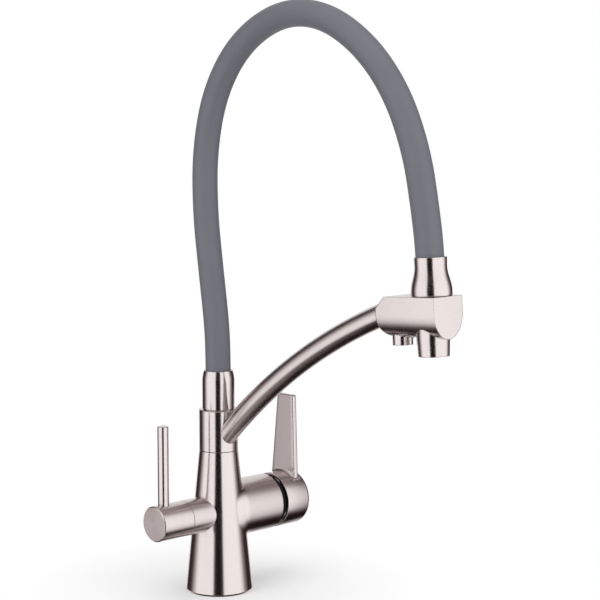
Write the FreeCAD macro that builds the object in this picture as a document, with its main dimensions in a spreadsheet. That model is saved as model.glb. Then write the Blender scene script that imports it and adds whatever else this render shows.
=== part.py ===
# Two-way kitchen mixer with a flexible spout, in millimetres, +Z up.
#
# The origin is the middle of the base, on the worktop. The body's axis is the Z axis. The mixing lever
# stands on the +X side, the drinking water lever on the -X side, and the spout points along -Y at rest.
# Hot and cold water mix in a 35 mm cartridge and run up through the flexible hose to the large outlet.
# Filtered water has a quarter-turn valve of its own and runs through the rigid arm to the small outlet.
# Castings and fittings are closed here; the only water ways drawn are the inlets under the foot.

import FreeCAD, Part
import math
import os

import Sketcher

Vector = FreeCAD.Vector
document = FreeCAD.newDocument("flexible_spout_mixer")

# Driving dimensions, millimetres and degrees

DRIVING = {
    # body: a slender cone on a hollow foot
    "base_radius": 27.25,
    "base_edge": 1.6,
    "seam_height": 115.2,
    "hollow_radius": 21.6,
    "hollow_depth": 30.0,
    # supply side, in the roof of the hollow foot; the inlets are stepped so that each hose end has room
    "inlet_radius": 4.5,
    "cold_inlet_depth": 11.0,
    "hot_inlet_depth": 12.0,
    "filtered_inlet_depth": 13.0,
    "inlet_circle": 11.5,
    "stud_hole_radius": 3.4,
    "stud_hole_depth": 14.0,
    # horizontal branches, with the cartridge on one side and the filter valve on the other
    "branch_height": 64.5,
    "housing_radius": 22.8,
    "housing_end": 50.3,
    "housing_root": 2.0,
    "housing_root_radius": 19.8,
    "housing_flare": 12.0,
    "stub_radius": 14.2,
    "stub_end": 37.3,
    # cartridge, 35 mm size: a shell, the moving disc with its carrier, the lever guide and the nut
    "cartridge_radius": 17.5,
    "cartridge_clearance": 0.15,
    "cartridge_seat": 21.0,
    "cartridge_floor": 8.0,
    "nut_recess": 2.8,
    "shell_wall": 2.2,
    "mixing_disc_radius": 11.6,
    "mixing_disc_length": 7.1,
    "disc_gap": 0.05,
    "guide_gap": 0.3,
    "pivot_inset": 5.5,
    "pivot_pin_radius": 1.5,
    "pivot_pin_length": 26.0,
    "running_gap": 0.08,
    "stem_width": 7.9,
    "stem_grip": 7.4,
    "finger_depth": 2.75,
    "finger_radius": 1.6,
    "finger_room": 1.0,
    "guide_slot_side_gap": 0.2,
    "guide_slot_down": 6.9,
    "guide_slot_up": 5.2,
    "nut_radius": 19.8,
    "nut_bore_radius": 14.4,
    "nut_reveal": 5.9,
    "thread_gap": 0.1,
    # mixer handle: a cap and a blade, cast in one
    "cap_gap": 0.4,
    "cap_radius": 22.6,
    "cap_wall": 1.8,
    "cap_cavity_depth": 13.0,
    "cap_length": 25.0,
    "cap_edge": 3.2,
    "socket_gap": 0.1,
    "blade_inset": 1.1,
    "blade_thickness": 4.8,
    "blade_lean": 2.0,
    "blade_root_depth": 5.4,
    "blade_length": 70.4,
    "blade_foot_half_width": 14.3,
    "blade_top_half_width": 9.4,
    "blade_corner_round": 2.2,
    "handle_screw_inset": 3.9,
    "handle_screw_radius": 2.5,
    "handle_screw_length": 8.0,
    # filter valve
    "valve_seat": 17.0,
    "valve_radius": 10.4,
    "valve_inset": 0.3,
    "valve_chamber_radius": 7.6,
    "valve_chamber_depth": 5.2,
    "valve_disc_gap": 0.55,
    "spindle_radius": 4.1,
    "spin_gap": 0.3,
    # filter knob with its rod lever
    "knob_gap": 0.35,
    "knob_length": 29.75,
    "knob_edge": 0.8,
    "spindle_reach": 18.35,
    "rod_inset": 9.8,
    "rod_radius": 4.4,
    "rod_length": 63.0,
    "rod_edge": 0.9,
    "rod_depth": 8.0,
    "push_fit": 0.05,
    "knob_screw_inset": 10.35,
    "knob_screw_radius": 2.0,
    "knob_screw_length": 6.0,
    # swivel on top of the cone
    "collar_radius": 15.75,
    "collar_height": 33.5,
    "collar_edge": 0.6,
    "swivel_gap": 0.4,
    "bearing_gap": 0.1,
    "spigot_depth": 16.7,
    "spigot_radius": 10.4,
    "spigot_cover": 8.7,
    # hose and its ferrules
    "hose_radius": 10.15,
    "ferrule_floor": 4.2,
    "ferrule_radius": 13.1,
    "ferrule_height": 31.5,
    "ferrule_shoulder": 8.2,
    "ferrule_mouth_radius": 11.6,
    "bell_height": 27.5,
    "bell_neck_radius": 11.6,
    "bell_flare_radius": 14.7,
    "bell_neck_height": 21.0,
    "bell_flare_height": 3.5,
    # head block at the end of the arm, in a frame of its own under the bell
    "reach": 229.5,
    "head_height": 258.4,
    "head_tilt": 3.5,
    "block_half_width": 15.0,
    "block_depth": 30.0,
    "block_side": 12.0,
    "block_bottom_radius": 12.9,
    "block_front": 15.1,
    "block_back": 41.0,
    "block_top_chamfer": 8.6,
    "block_bottom_round": 11.0,
    # outlets below the head block
    "outlet_radius": 11.8,
    "outlet_lip_radius": 11.2,
    "outlet_drop": 12.3,
    "outlet_bore_radius": 9.3,
    "outlet_bore_depth": 8.0,
    "filter_outlet_distance": 29.3,
    "filter_outlet_radius": 7.4,
    "filter_outlet_drop": 5.4,
    "filter_outlet_bore_radius": 5.4,
    "filter_outlet_bore_depth": 6.0,
    "outlet_inset": 0.6,
    # rigid arm, a tube bent to one radius between the collar's axis and a point inside the head block
    "arm_radius": 8.45,
    "arm_bend_radius": 521.2,
    "arm_root_rise": 3.0,
    "arm_tip_back": 30.45,
    "arm_tip_drop": 8.71,
}

sheet = document.addObject("Spreadsheet::Sheet", "sizes")
for row, (alias, number) in enumerate(DRIVING.items(), start=1):
    sheet.set(f"A{row}", alias.replace("_", " "))
    sheet.set(f"B{row}", str(number))
    sheet.setAlias(f"B{row}", alias)
document.recompute()


class Size:
    """A length or angle that knows its value and the sheet expression it comes from."""

    def __init__(self, value, text):
        self.value = float(value)
        self.text = text

    def __add__(self, other):
        return Size(self.value + value_of(other), f"({self.text} + {text_of(other)})")

    def __radd__(self, other):
        return Size(value_of(other) + self.value, f"({text_of(other)} + {self.text})")

    def __sub__(self, other):
        return Size(self.value - value_of(other), f"({self.text} - {text_of(other)})")

    def __rsub__(self, other):
        return Size(value_of(other) - self.value, f"({text_of(other)} - {self.text})")

    def __mul__(self, other):
        return Size(self.value * value_of(other), f"({self.text} * {text_of(other)})")

    __rmul__ = __mul__

    def __truediv__(self, other):
        return Size(self.value / value_of(other), f"({self.text} / {text_of(other)})")

    def __neg__(self):
        return Size(-self.value, f"(0 - {self.text})")


def value_of(size):
    return size.value if isinstance(size, Size) else float(size)


def text_of(size):
    return size.text if isinstance(size, Size) else repr(float(size))


def sine_of(angle):
    return Size(math.sin(math.radians(angle.value)), f"sin({angle.text} * 1 deg)")


def cosine_of(angle):
    return Size(math.cos(math.radians(angle.value)), f"cos({angle.text} * 1 deg)")


def angle_with_sine(ratio):
    return Size(math.degrees(math.asin(ratio.value)), f"asin({ratio.text})")


def angle_with_tangent(ratio):
    return Size(math.degrees(math.atan(ratio.value)), f"atan({ratio.text})")


def root_of(size):
    return Size(math.sqrt(size.value), f"sqrt({size.text})")


class Sizes:
    """The sheet's cells by name, as Size objects."""


s = Sizes()
for alias in DRIVING:
    setattr(s, alias, Size(getattr(sheet, alias), f"sizes.{alias}"))


# Sketches and features

def new_body(label):
    body = document.addObject("PartDesign::Body", label)
    body.Label = label
    return body


def new_sketch(body, name, role, along=0, up=0):
    """An empty sketch on one of the body's origin planes, moved along its normal and up in the plane."""
    sketch = body.newObject("Sketcher::SketchObject", name)
    plane = next(item for item in body.Origin.OriginFeatures if item.Role == role)
    sketch.AttachmentSupport = [(plane, "")]
    sketch.MapMode = "FlatFace"
    shift = Vector(0, value_of(up), value_of(along))
    sketch.AttachmentOffset = FreeCAD.Placement(shift, FreeCAD.Rotation())
    if isinstance(along, Size):
        sketch.setExpression("AttachmentOffset.Base.z", along.text)
    if isinstance(up, Size):
        sketch.setExpression("AttachmentOffset.Base.y", up.text)
    return sketch


def lean_sketch(sketch, angle):
    """Tips a sketch about its own horizontal direction."""
    place = sketch.AttachmentOffset.Base
    sketch.AttachmentOffset = FreeCAD.Placement(place, FreeCAD.Rotation(Vector(1, 0, 0), angle.value))
    sketch.setExpression("AttachmentOffset.Rotation.Angle", angle.text)


def hold(sketch, constraint, size):
    """Adds a dimension and ties it to the sheet."""
    index = sketch.addConstraint(constraint)
    if isinstance(size, Size):
        sketch.setExpression(f"Constraints[{index}]", size.text)


def hold_point(sketch, geometry, point, x, y):
    """Holds a point at x and y. A coordinate of zero puts it on the axis itself."""
    if value_of(x) == 0 and value_of(y) == 0:
        sketch.addConstraint(Sketcher.Constraint("Coincident", geometry, point, -1, 1))
        return
    for kind, size, axis in (("DistanceX", x, -2), ("DistanceY", y, -1)):
        if value_of(size) == 0:
            sketch.addConstraint(Sketcher.Constraint("PointOnObject", geometry, point, axis))
        else:
            hold(sketch, Sketcher.Constraint(kind, -1, 1, geometry, point, value_of(size)), size)


def draw_arc(sketch, start, end, radius):
    """An arc bulging to the right of the way from start to end, or to the left if radius is negative."""
    first, last = (start, end) if radius > 0 else (end, start)
    span = last - first
    left = Vector(-span.y, span.x, 0).normalize()
    centre = (first + last) * 0.5 + left * math.sqrt(max(radius ** 2 - span.Length ** 2 / 4, 0))
    from_angle = math.atan2(first.y - centre.y, first.x - centre.x)
    to_angle = math.atan2(last.y - centre.y, last.x - centre.x)
    circle = Part.Circle(centre, Vector(0, 0, 1), abs(radius))
    return sketch.addGeometry(Part.ArcOfCircle(circle, from_angle, to_angle), False)


def draw_loop(sketch, outline):
    """A closed outline of points (x, y), or (x, y, radius) where an arc leads to the point."""
    corners = [Vector(value_of(step[0]), value_of(step[1]), 0) for step in outline]
    sides = []
    for i, step in enumerate(outline):
        start = corners[i - 1]
        end = corners[i]
        if len(step) == 2:
            sides.append((sketch.addGeometry(Part.LineSegment(start, end), False), 1, 2))
            continue
        index = draw_arc(sketch, start, end, value_of(step[2]))
        sides.append((index, 1, 2) if value_of(step[2]) > 0 else (index, 2, 1))
    for i, (side, start, end) in enumerate(sides):
        following, begin, _ = sides[(i + 1) % len(sides)]
        sketch.addConstraint(Sketcher.Constraint("Coincident", side, end, following, begin))
    for step, (side, start, end) in zip(outline, sides):
        hold_point(sketch, side, end, step[0], step[1])
        if len(step) == 3:
            radius = step[2] if value_of(step[2]) > 0 else -step[2]
            hold(sketch, Sketcher.Constraint("Radius", side, value_of(radius)), radius)


def draw_circle(sketch, x, y, radius):
    circle = Part.Circle(Vector(value_of(x), value_of(y), 0), Vector(0, 0, 1), value_of(radius))
    index = sketch.addGeometry(circle, False)
    hold_point(sketch, index, 3, x, y)
    hold(sketch, Sketcher.Constraint("Radius", index, value_of(radius)), radius)


def turn(body, name, outline, axis="V_Axis", along=0, up=0, kind="PartDesign::Revolution"):
    """A profile drawn in the XZ plane and turned about its vertical or horizontal axis."""
    sketch = new_sketch(body, name + "_profile", "XZ_Plane", along, up)
    draw_loop(sketch, outline)
    feature = body.newObject(kind, name)
    feature.Profile = sketch
    feature.ReferenceAxis = (sketch, [axis])
    feature.Angle = 360
    return feature


def groove(body, name, outline, axis="V_Axis", along=0, up=0):
    """A turned cut."""
    return turn(body, name, outline, axis, along, up, "PartDesign::Groove")


def extrude(body, name, sketch, length, kind, is_reversed):
    feature = body.newObject(kind, name)
    feature.Profile = sketch
    feature.Length = value_of(length)
    if isinstance(length, Size):
        feature.setExpression("Length", length.text)
    feature.Reversed = is_reversed


def pad(body, name, sketch, length, onward=True):
    """Material from the sketch along its normal, or against it."""
    extrude(body, name, sketch, length, "PartDesign::Pad", not onward)


def pocket(body, name, sketch, length, onward=True):
    """A cut from the sketch along its normal, or against it. An unreversed pocket goes against it."""
    extrude(body, name, sketch, length, "PartDesign::Pocket", onward)


def dress(body, name, kind, size, test):
    """A fillet or chamfer on the edges of the body's last feature that pass the test."""
    document.recompute()
    feature = body.Tip
    names = [f"Edge{i}" for i, edge in enumerate(feature.Shape.Edges, start=1) if test(edge)]
    if not names:
        raise RuntimeError(f"{name} finds no edge")
    dressed = body.newObject(kind, name)
    dressed.Base = (feature, names)
    quantity = "Radius" if kind == "PartDesign::Fillet" else "Size"
    setattr(dressed, quantity, value_of(size))
    dressed.setExpression(quantity, size.text)


def fillet(body, name, size, test):
    dress(body, name, "PartDesign::Fillet", size, test)


def chamfer(body, name, size, test):
    dress(body, name, "PartDesign::Chamfer", size, test)


HAIR = 1e-4


def spans(edge, axis, low, high):
    """Whether the edge keeps between two places along an axis, to a hair."""
    box = edge.BoundBox
    least, most = {"X": (box.XMin, box.XMax), "Y": (box.YMin, box.YMax), "Z": (box.ZMin, box.ZMax)}[axis]
    return least > value_of(low) - HAIR and most < value_of(high) + HAIR


def settle(item, x=0, y=0, z=0, axis=None, angle=None):
    """Puts a sub-part in its place and ties the place to the sheet."""
    rotation = FreeCAD.Rotation(axis, angle.value) if axis else FreeCAD.Rotation()
    item.Placement = FreeCAD.Placement(Vector(value_of(x), value_of(y), value_of(z)), rotation)
    for name, size in (("x", x), ("y", y), ("z", z)):
        if isinstance(size, Size):
            item.setExpression(f"Placement.Base.{name}", size.text)
    if angle:
        item.setExpression("Placement.Rotation.Angle", angle.text)


SUBPARTS = []


def keep(item, label):
    """Names a finished sub-part, which is then checked and exported."""
    item.Label = label
    SUBPARTS.append(item)
    return item


def keep_on_branch(body):
    """A sub-part drawn about the branch axis goes to the branch's height."""
    settle(body, z=s.branch_height)
    return keep(body, body.Label)


def keep_on_head(body):
    """A sub-part drawn in the head's frame goes to the end of the arm and leans with the head."""
    settle(body, y=-s.reach, z=s.head_height, axis=Vector(-1, 0, 0), angle=s.head_tilt)
    return keep(body, body.Label)


def band(inner, outer, start, end):
    """The section of a plain ring about the horizontal axis, from start to end along it."""
    return [(start, inner), (end, inner), (end, outer), (start, outer)]


def ring(inner, outer, low, high):
    """The section of a plain ring about the vertical axis, from low to high."""
    return [(inner, low), (outer, low), (outer, high), (inner, high)]


def square(half):
    return [(-half, -half), (half, -half), (half, half), (-half, half)]


def turned_part(label, outline, axis="V_Axis"):
    """A sub-part that is one turned profile."""
    body = new_body(label)
    turn(body, "profile", outline, axis)
    return body


# Body shell, one casting: hollow foot, cone, cartridge housing and valve stub.
# The housing is a little wider than the cone, so its root narrows before it meets the cone.

cartridge_end = s.housing_end - s.nut_recess
cartridge_bore = s.cartridge_radius + s.cartridge_clearance
nut_bore = s.nut_radius + s.thread_gap
valve_bore = s.valve_radius + s.thread_gap
spigot_bore = s.spigot_radius + s.push_fit
spigot_foot = s.seam_height - s.spigot_depth

body_shell = new_body("body_shell")
turn(body_shell, "cone", [
    (0, 0),
    (s.base_radius, 0),
    (s.collar_radius, s.seam_height),
    (0, s.seam_height),
])
turn(body_shell, "housing", [
    (s.housing_root, 0),
    (s.housing_end, 0),
    (s.housing_end, s.housing_radius),
    (s.housing_root + s.housing_flare, s.housing_radius),
    (s.housing_root, s.housing_root_radius),
], "H_Axis", up=s.branch_height)
turn(body_shell, "stub", band(0, s.stub_radius, -s.stub_end, -s.housing_root), "H_Axis", up=s.branch_height)


def is_foot_edge(edge):
    return spans(edge, "Z", 0, 0)


chamfer(body_shell, "foot_edge", s.base_edge, is_foot_edge)
groove(body_shell, "hollow", ring(0, s.hollow_radius, 0, s.hollow_depth))
groove(body_shell, "spigot_bore", ring(0, spigot_bore, spigot_foot, s.seam_height))

# Branch bores: the cartridge's bore with its nut thread, and the filter valve's bore

groove(body_shell, "cartridge_bore", [
    (s.cartridge_seat, 0),
    (s.housing_end, 0),
    (s.housing_end, nut_bore),
    (cartridge_end, nut_bore),
    (cartridge_end, cartridge_bore),
    (s.cartridge_seat, cartridge_bore),
], "H_Axis", up=s.branch_height)
groove(body_shell, "valve_bore", band(
    0, valve_bore, -s.stub_end, -s.valve_seat
), "H_Axis", up=s.branch_height)

# Supply side: hot, cold and filtered inlets, and the hole for the mounting stud, on one circle.
FOOT_HOLES = (
    ("cold_inlet", 45, s.inlet_radius, s.cold_inlet_depth),
    ("hot_inlet", 135, s.inlet_radius, s.hot_inlet_depth),
    ("filtered_inlet", 225, s.inlet_radius, s.filtered_inlet_depth),
    ("stud_hole", 315, s.stud_hole_radius, s.stud_hole_depth),
)
for name, angle, radius, depth in FOOT_HOLES:
    circle = new_sketch(body_shell, name + "_circle", "XY_Plane", along=s.hollow_depth)
    turned = math.radians(angle)
    draw_circle(circle, s.inlet_circle * math.cos(turned), s.inlet_circle * math.sin(turned), radius)
    pocket(body_shell, name, circle, depth)
keep(body_shell, "body_shell")

# Cartridge shell: a cup, with the port plate and the fixed disc as its floor

cartridge_floor_end = s.cartridge_seat + s.cartridge_floor
shell_cavity = s.cartridge_radius - s.shell_wall
keep_on_branch(turned_part("cartridge_shell", [
    (s.cartridge_seat, 0),
    (cartridge_floor_end, 0),
    (cartridge_floor_end, shell_cavity),
    (cartridge_end, shell_cavity),
    (cartridge_end, s.cartridge_radius),
    (s.cartridge_seat, s.cartridge_radius),
], "H_Axis"))

# The mixing disc slides on the shell's floor. The lever's finger moves it by the hole in its carrier.

mixing_disc_start = cartridge_floor_end + s.disc_gap
mixing_disc_end = mixing_disc_start + s.mixing_disc_length
finger_tip = mixing_disc_end - s.finger_depth
mixing_disc = turned_part("mixing_ceramic_disc", [
    (mixing_disc_start, 0),
    (finger_tip - s.finger_room, 0),
    (finger_tip - s.finger_room, s.finger_radius + s.finger_room),
    (mixing_disc_end, s.finger_radius + s.finger_room),
    (mixing_disc_end, s.mixing_disc_radius),
    (mixing_disc_start, s.mixing_disc_radius),
], "H_Axis")
keep_on_branch(mixing_disc)

# The lever guide turns in the shell, held by the nut, and carries the pivot pin. The lever swings in
# its slot.

guide_start = mixing_disc_end + s.guide_gap
guide_end = cartridge_end - s.guide_gap
pivot_distance = cartridge_end - s.pivot_inset
guide_radius = shell_cavity - s.running_gap
guide_slot_half = s.stem_width / 2 + s.guide_slot_side_gap
pin_start = -s.pivot_pin_length / 2
lever_guide = turned_part("lever_guide", band(0, guide_radius, guide_start, guide_end), "H_Axis")
slot = new_sketch(lever_guide, "slot_outline", "YZ_Plane", along=guide_start)
draw_loop(slot, [
    (-guide_slot_half, -s.guide_slot_down),
    (guide_slot_half, -s.guide_slot_down),
    (guide_slot_half, s.guide_slot_up),
    (-guide_slot_half, s.guide_slot_up),
])
pocket(lever_guide, "slot", slot, guide_end - guide_start)
pin_bore = new_sketch(lever_guide, "pin_circle", "XZ_Plane", along=pin_start)
draw_circle(pin_bore, pivot_distance, 0, s.pivot_pin_radius)
pocket(lever_guide, "pin_bore", pin_bore, s.pivot_pin_length)
keep_on_branch(lever_guide)

pivot_pin = new_body("pivot_pin")
pin_circle = new_sketch(pivot_pin, "pin_circle", "XZ_Plane", along=pin_start)
draw_circle(pin_circle, pivot_distance, 0, s.pivot_pin_radius)
pad(pivot_pin, "pin", pin_circle, s.pivot_pin_length)
keep_on_branch(pivot_pin)

# Lever stem: a square bar with a round heel about the pivot and a finger for the mixing disc.

nut_end = s.housing_end + s.nut_reveal
cap_start = nut_end + s.cap_gap
cap_cavity_end = cap_start + s.cap_cavity_depth
stem_end = cap_cavity_end + s.stem_grip
half_stem = s.stem_width / 2
lever_stem = new_body("lever_stem")
stem_square = new_sketch(lever_stem, "bar_outline", "YZ_Plane", along=pivot_distance)
draw_loop(stem_square, square(half_stem))
pad(lever_stem, "bar", stem_square, stem_end - pivot_distance)
heel = new_sketch(lever_stem, "heel_circle", "XZ_Plane", along=-half_stem)
draw_circle(heel, pivot_distance, 0, half_stem)
pad(lever_stem, "heel", heel, s.stem_width)
finger = new_sketch(lever_stem, "finger_circle", "YZ_Plane", along=finger_tip)
draw_circle(finger, 0, 0, s.finger_radius)
pad(lever_stem, "finger", finger, pivot_distance - finger_tip)
pivot_hole = new_sketch(lever_stem, "pivot_circle", "XZ_Plane", along=-half_stem)
draw_circle(pivot_hole, pivot_distance, 0, s.pivot_pin_radius + s.running_gap)
pocket(lever_stem, "pivot_hole", pivot_hole, s.stem_width)
keep_on_branch(lever_stem)

# Cartridge nut, the black ring seen between the housing and the cap

keep_on_branch(turned_part(
    "cartridge_nut",
    band(s.nut_bore_radius, s.nut_radius, cartridge_end, nut_end),
    "H_Axis",
))

# Mixer handle: the cap with its blade, cast in one, with a square socket for the stem.
# The cap's outer edge is rounded by two slopes that meet on the round itself.

ROUND_SHARE = 1 - math.sqrt(0.5)

cap_end = cap_start + s.cap_length
cap_inner = s.cap_radius - s.cap_wall
edge_step = s.cap_edge * ROUND_SHARE
mixer_handle = turned_part("mixer_handle", [
    (cap_start, cap_inner),
    (cap_cavity_end, cap_inner),
    (cap_cavity_end, 0),
    (cap_end, 0),
    (cap_end, s.cap_radius - s.cap_edge),
    (cap_end - edge_step, s.cap_radius - edge_step),
    (cap_end - s.cap_edge, s.cap_radius),
    (cap_start, s.cap_radius),
], "H_Axis")

blade_foot = s.cap_radius - s.blade_root_depth
blade_top = blade_foot + s.blade_length
blade_distance = cap_cavity_end + s.blade_inset
blade = new_sketch(mixer_handle, "blade_outline", "YZ_Plane", along=blade_distance, up=blade_foot)
lean_sketch(blade, s.blade_lean)
draw_loop(blade, [
    (-s.blade_foot_half_width, 0),
    (s.blade_foot_half_width, 0),
    (s.blade_top_half_width, s.blade_length),
    (-s.blade_top_half_width, s.blade_length),
])
pad(mixer_handle, "blade", blade, s.blade_thickness)


def is_blade_corner(edge):
    """The two short edges through the blade's thickness at its top."""
    straight = isinstance(edge.Curve, Part.Line)
    near_top = spans(edge, "Z", blade_top - s.blade_thickness, blade_top + s.blade_thickness)
    across = spans(edge, "Y", edge.BoundBox.YMin, edge.BoundBox.YMin)
    return straight and near_top and across


fillet(mixer_handle, "blade_corners", s.blade_corner_round, is_blade_corner)

stem_socket = new_sketch(mixer_handle, "stem_socket", "YZ_Plane", along=cap_cavity_end)
draw_loop(stem_socket, square(half_stem + s.socket_gap))
pocket(mixer_handle, "socket", stem_socket, s.stem_grip + s.socket_gap)
handle_screw_distance = cap_cavity_end + s.handle_screw_inset
screw_bore = new_sketch(mixer_handle, "screw_circle", "XY_Plane", along=-s.cap_radius)
draw_circle(screw_bore, handle_screw_distance, 0, s.handle_screw_radius)
pocket(mixer_handle, "screw_bore", screw_bore, s.cap_radius - half_stem)
keep_on_branch(mixer_handle)

# Grub screws with a hexagon socket, drawn tip upward

HEXAGON_ANGLES = (0, 60, 120, 180, 240, 300)
SOCKET_SHARE = 0.58
SOCKET_DEPTH_SHARE = 0.35


def grub_screw(label, radius, length):
    body = turned_part(label, ring(0, radius, -length, 0))
    hexagon = new_sketch(body, "hexagon", "XY_Plane", along=-length)
    corner = radius * SOCKET_SHARE
    draw_loop(hexagon, [
        (corner * math.cos(math.radians(angle)), corner * math.sin(math.radians(angle)))
        for angle in HEXAGON_ANGLES
    ])
    pocket(body, "drive", hexagon, length * SOCKET_DEPTH_SHARE)
    return body


handle_screw = grub_screw("handle_grub_screw", s.handle_screw_radius, s.handle_screw_length)
settle(handle_screw, x=handle_screw_distance, z=s.branch_height - half_stem)
keep(handle_screw, "handle_grub_screw")

# Filter valve: its body, with a chamber for the disc at the inner end of the spindle

chamber_end = s.valve_seat + s.valve_chamber_depth
disc_start = s.valve_seat + s.valve_disc_gap
disc_end = chamber_end - s.disc_gap
valve_end = s.stub_end - s.valve_inset
knob_start = s.stub_end + s.knob_gap
spindle_end = knob_start + s.spindle_reach
spindle_bore = s.spindle_radius + s.running_gap
keep_on_branch(turned_part("filter_valve_body", [
    (-valve_end, spindle_bore),
    (-chamber_end, spindle_bore),
    (-chamber_end, s.valve_chamber_radius),
    (-s.valve_seat, s.valve_chamber_radius),
    (-s.valve_seat, s.valve_radius),
    (-valve_end, s.valve_radius),
], "H_Axis"))
spin_radius = s.valve_chamber_radius - s.spin_gap
keep_on_branch(turned_part("filter_spindle", [
    (-spindle_end, 0),
    (-disc_start, 0),
    (-disc_start, spin_radius),
    (-disc_end, spin_radius),
    (-disc_end, s.spindle_radius),
    (-spindle_end, s.spindle_radius),
], "H_Axis"))

# Filter knob with its rod lever standing in a hole from above

knob_end = knob_start + s.knob_length
knob_bore = s.spindle_radius + s.push_fit
knob_screw_distance = knob_start + s.knob_screw_inset
rod_distance = knob_end - s.rod_inset
rod_foot = s.stub_radius - s.rod_depth
rod_top = s.stub_radius + s.rod_length
filter_knob = turned_part("filter_knob", [
    (-knob_end, 0),
    (-spindle_end, 0),
    (-spindle_end, knob_bore),
    (-knob_start, knob_bore),
    (-knob_start, s.stub_radius),
    (s.knob_edge - knob_end, s.stub_radius),
    (-knob_end, s.stub_radius - s.knob_edge),
], "H_Axis")
rod_hole = new_sketch(filter_knob, "rod_circle", "XY_Plane", along=rod_foot)
draw_circle(rod_hole, -rod_distance, 0, s.rod_radius + s.push_fit)
pocket(filter_knob, "rod_hole", rod_hole, s.rod_depth + s.push_fit)
knob_screw_hole = new_sketch(filter_knob, "screw_circle", "XY_Plane", along=-s.stub_radius)
draw_circle(knob_screw_hole, -knob_screw_distance, 0, s.knob_screw_radius)
pocket(filter_knob, "screw_hole", knob_screw_hole, s.stub_radius - s.spindle_radius)
keep_on_branch(filter_knob)

filter_rod = turned_part("filter_rod", [
    (0, rod_foot),
    (s.rod_radius, rod_foot),
    (s.rod_radius, rod_top - s.rod_edge),
    (s.rod_radius - s.rod_edge, rod_top),
    (0, rod_top),
])
settle(filter_rod, x=-rod_distance, z=s.branch_height)
keep(filter_rod, "filter_rod")

knob_screw = grub_screw("knob_grub_screw", s.knob_screw_radius, s.knob_screw_length)
settle(knob_screw, x=-knob_screw_distance, z=s.branch_height - s.spindle_radius)
keep(knob_screw, "knob_grub_screw")

# Swivel: the spigot stands in the cone, and the collar turns on it with the arm and the hose.

collar_top = s.seam_height + s.collar_height
spigot_top = collar_top - s.spigot_cover
keep(turned_part("swivel_spigot", ring(0, s.spigot_radius, spigot_foot, spigot_top)), "swivel_spigot")

collar_bottom = s.seam_height + s.swivel_gap
collar_bore = s.spigot_radius + s.bearing_gap
collar_bore_top = spigot_top + s.swivel_gap
keep(turned_part("swivel_collar", [
    (0, collar_bore_top),
    (collar_bore, collar_bore_top),
    (collar_bore, collar_bottom),
    (s.collar_radius, collar_bottom),
    (s.collar_radius, collar_top - s.collar_edge),
    (s.collar_radius - s.collar_edge, collar_top),
    (0, collar_top),
]), "swivel_collar")

# Ferrules: the plain one on the collar, and the flared bell on the head. The hose stands on their floors.
# The bell's flank leaves the flare and reaches the neck by gentle slopes, with a steeper one between.

ferrule_bore = s.hose_radius + s.push_fit
hose_foot = collar_top + s.ferrule_floor
ferrule_top = collar_top + s.ferrule_height
keep(turned_part("lower_hose_ferrule", [
    (0, collar_top),
    (s.ferrule_radius, collar_top),
    (s.ferrule_radius, ferrule_top - s.ferrule_shoulder),
    (s.ferrule_mouth_radius, ferrule_top),
    (ferrule_bore, ferrule_top),
    (ferrule_bore, hose_foot),
    (0, hose_foot),
]), "lower_hose_ferrule")

bell_step = s.bell_flare_radius - s.bell_neck_radius
bell_run = s.bell_neck_height - s.bell_flare_height
keep_on_head(turned_part("hose_bell", [
    (0, 0),
    (s.bell_flare_radius, 0),
    (s.bell_flare_radius, s.bell_flare_height),
    (s.bell_flare_radius - bell_step / 8, s.bell_flare_height + bell_run / 4),
    (s.bell_neck_radius + bell_step / 8, s.bell_neck_height - bell_run / 4),
    (s.bell_neck_radius, s.bell_neck_height),
    (s.bell_neck_radius, s.bell_height),
    (ferrule_bore, s.bell_height),
    (ferrule_bore, s.ferrule_floor),
    (0, s.ferrule_floor),
]))

# Head block, in its own frame: the bell stands on its top, the outlets hang below. Its section is
# a D on its back, with two side arcs that run into the bottom arc.

side_drop = s.block_depth - s.block_bottom_radius - s.block_side
side_square = s.block_half_width * s.block_half_width + side_drop * side_drop
bottom_square = s.block_bottom_radius * s.block_bottom_radius
side_arc = (side_square - bottom_square) / ((s.block_half_width - s.block_bottom_radius) * 2)
arc_scale = s.block_bottom_radius / (side_arc - s.block_bottom_radius)
join_side = (side_arc - s.block_half_width) * arc_scale
join_drop = s.block_depth - s.block_bottom_radius + side_drop * arc_scale

head_block = new_body("head_block")
section = new_sketch(head_block, "section", "XZ_Plane", along=s.block_front)
draw_loop(section, [
    (-s.block_half_width, 0),
    (s.block_half_width, 0),
    (s.block_half_width, -s.block_side),
    (join_side, -join_drop, -side_arc),
    (-join_side, -join_drop, -s.block_bottom_radius),
    (-s.block_half_width, -s.block_side, -side_arc),
])
pad(head_block, "block", section, s.block_front + s.block_back, onward=False)


def cut_across(name, outline):
    """A cut right through the block's width, drawn from its side."""
    sketch = new_sketch(head_block, name + "_outline", "YZ_Plane", along=-s.block_half_width)
    draw_loop(sketch, outline)
    pocket(head_block, name, sketch, s.block_half_width * 2)


cut_across("top_slope", [
    (s.block_back - s.block_top_chamfer, 0),
    (s.block_back, -s.block_top_chamfer),
    (s.block_back, 0),
])
cut_across("back_round", [
    (s.block_back, s.block_bottom_round - s.block_depth),
    (s.block_back - s.block_bottom_round, -s.block_depth, -s.block_bottom_round),
    (s.block_back, -s.block_depth),
])

# The outlets with their recesses, and what fills them: the aerator and the flow straightener

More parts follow.
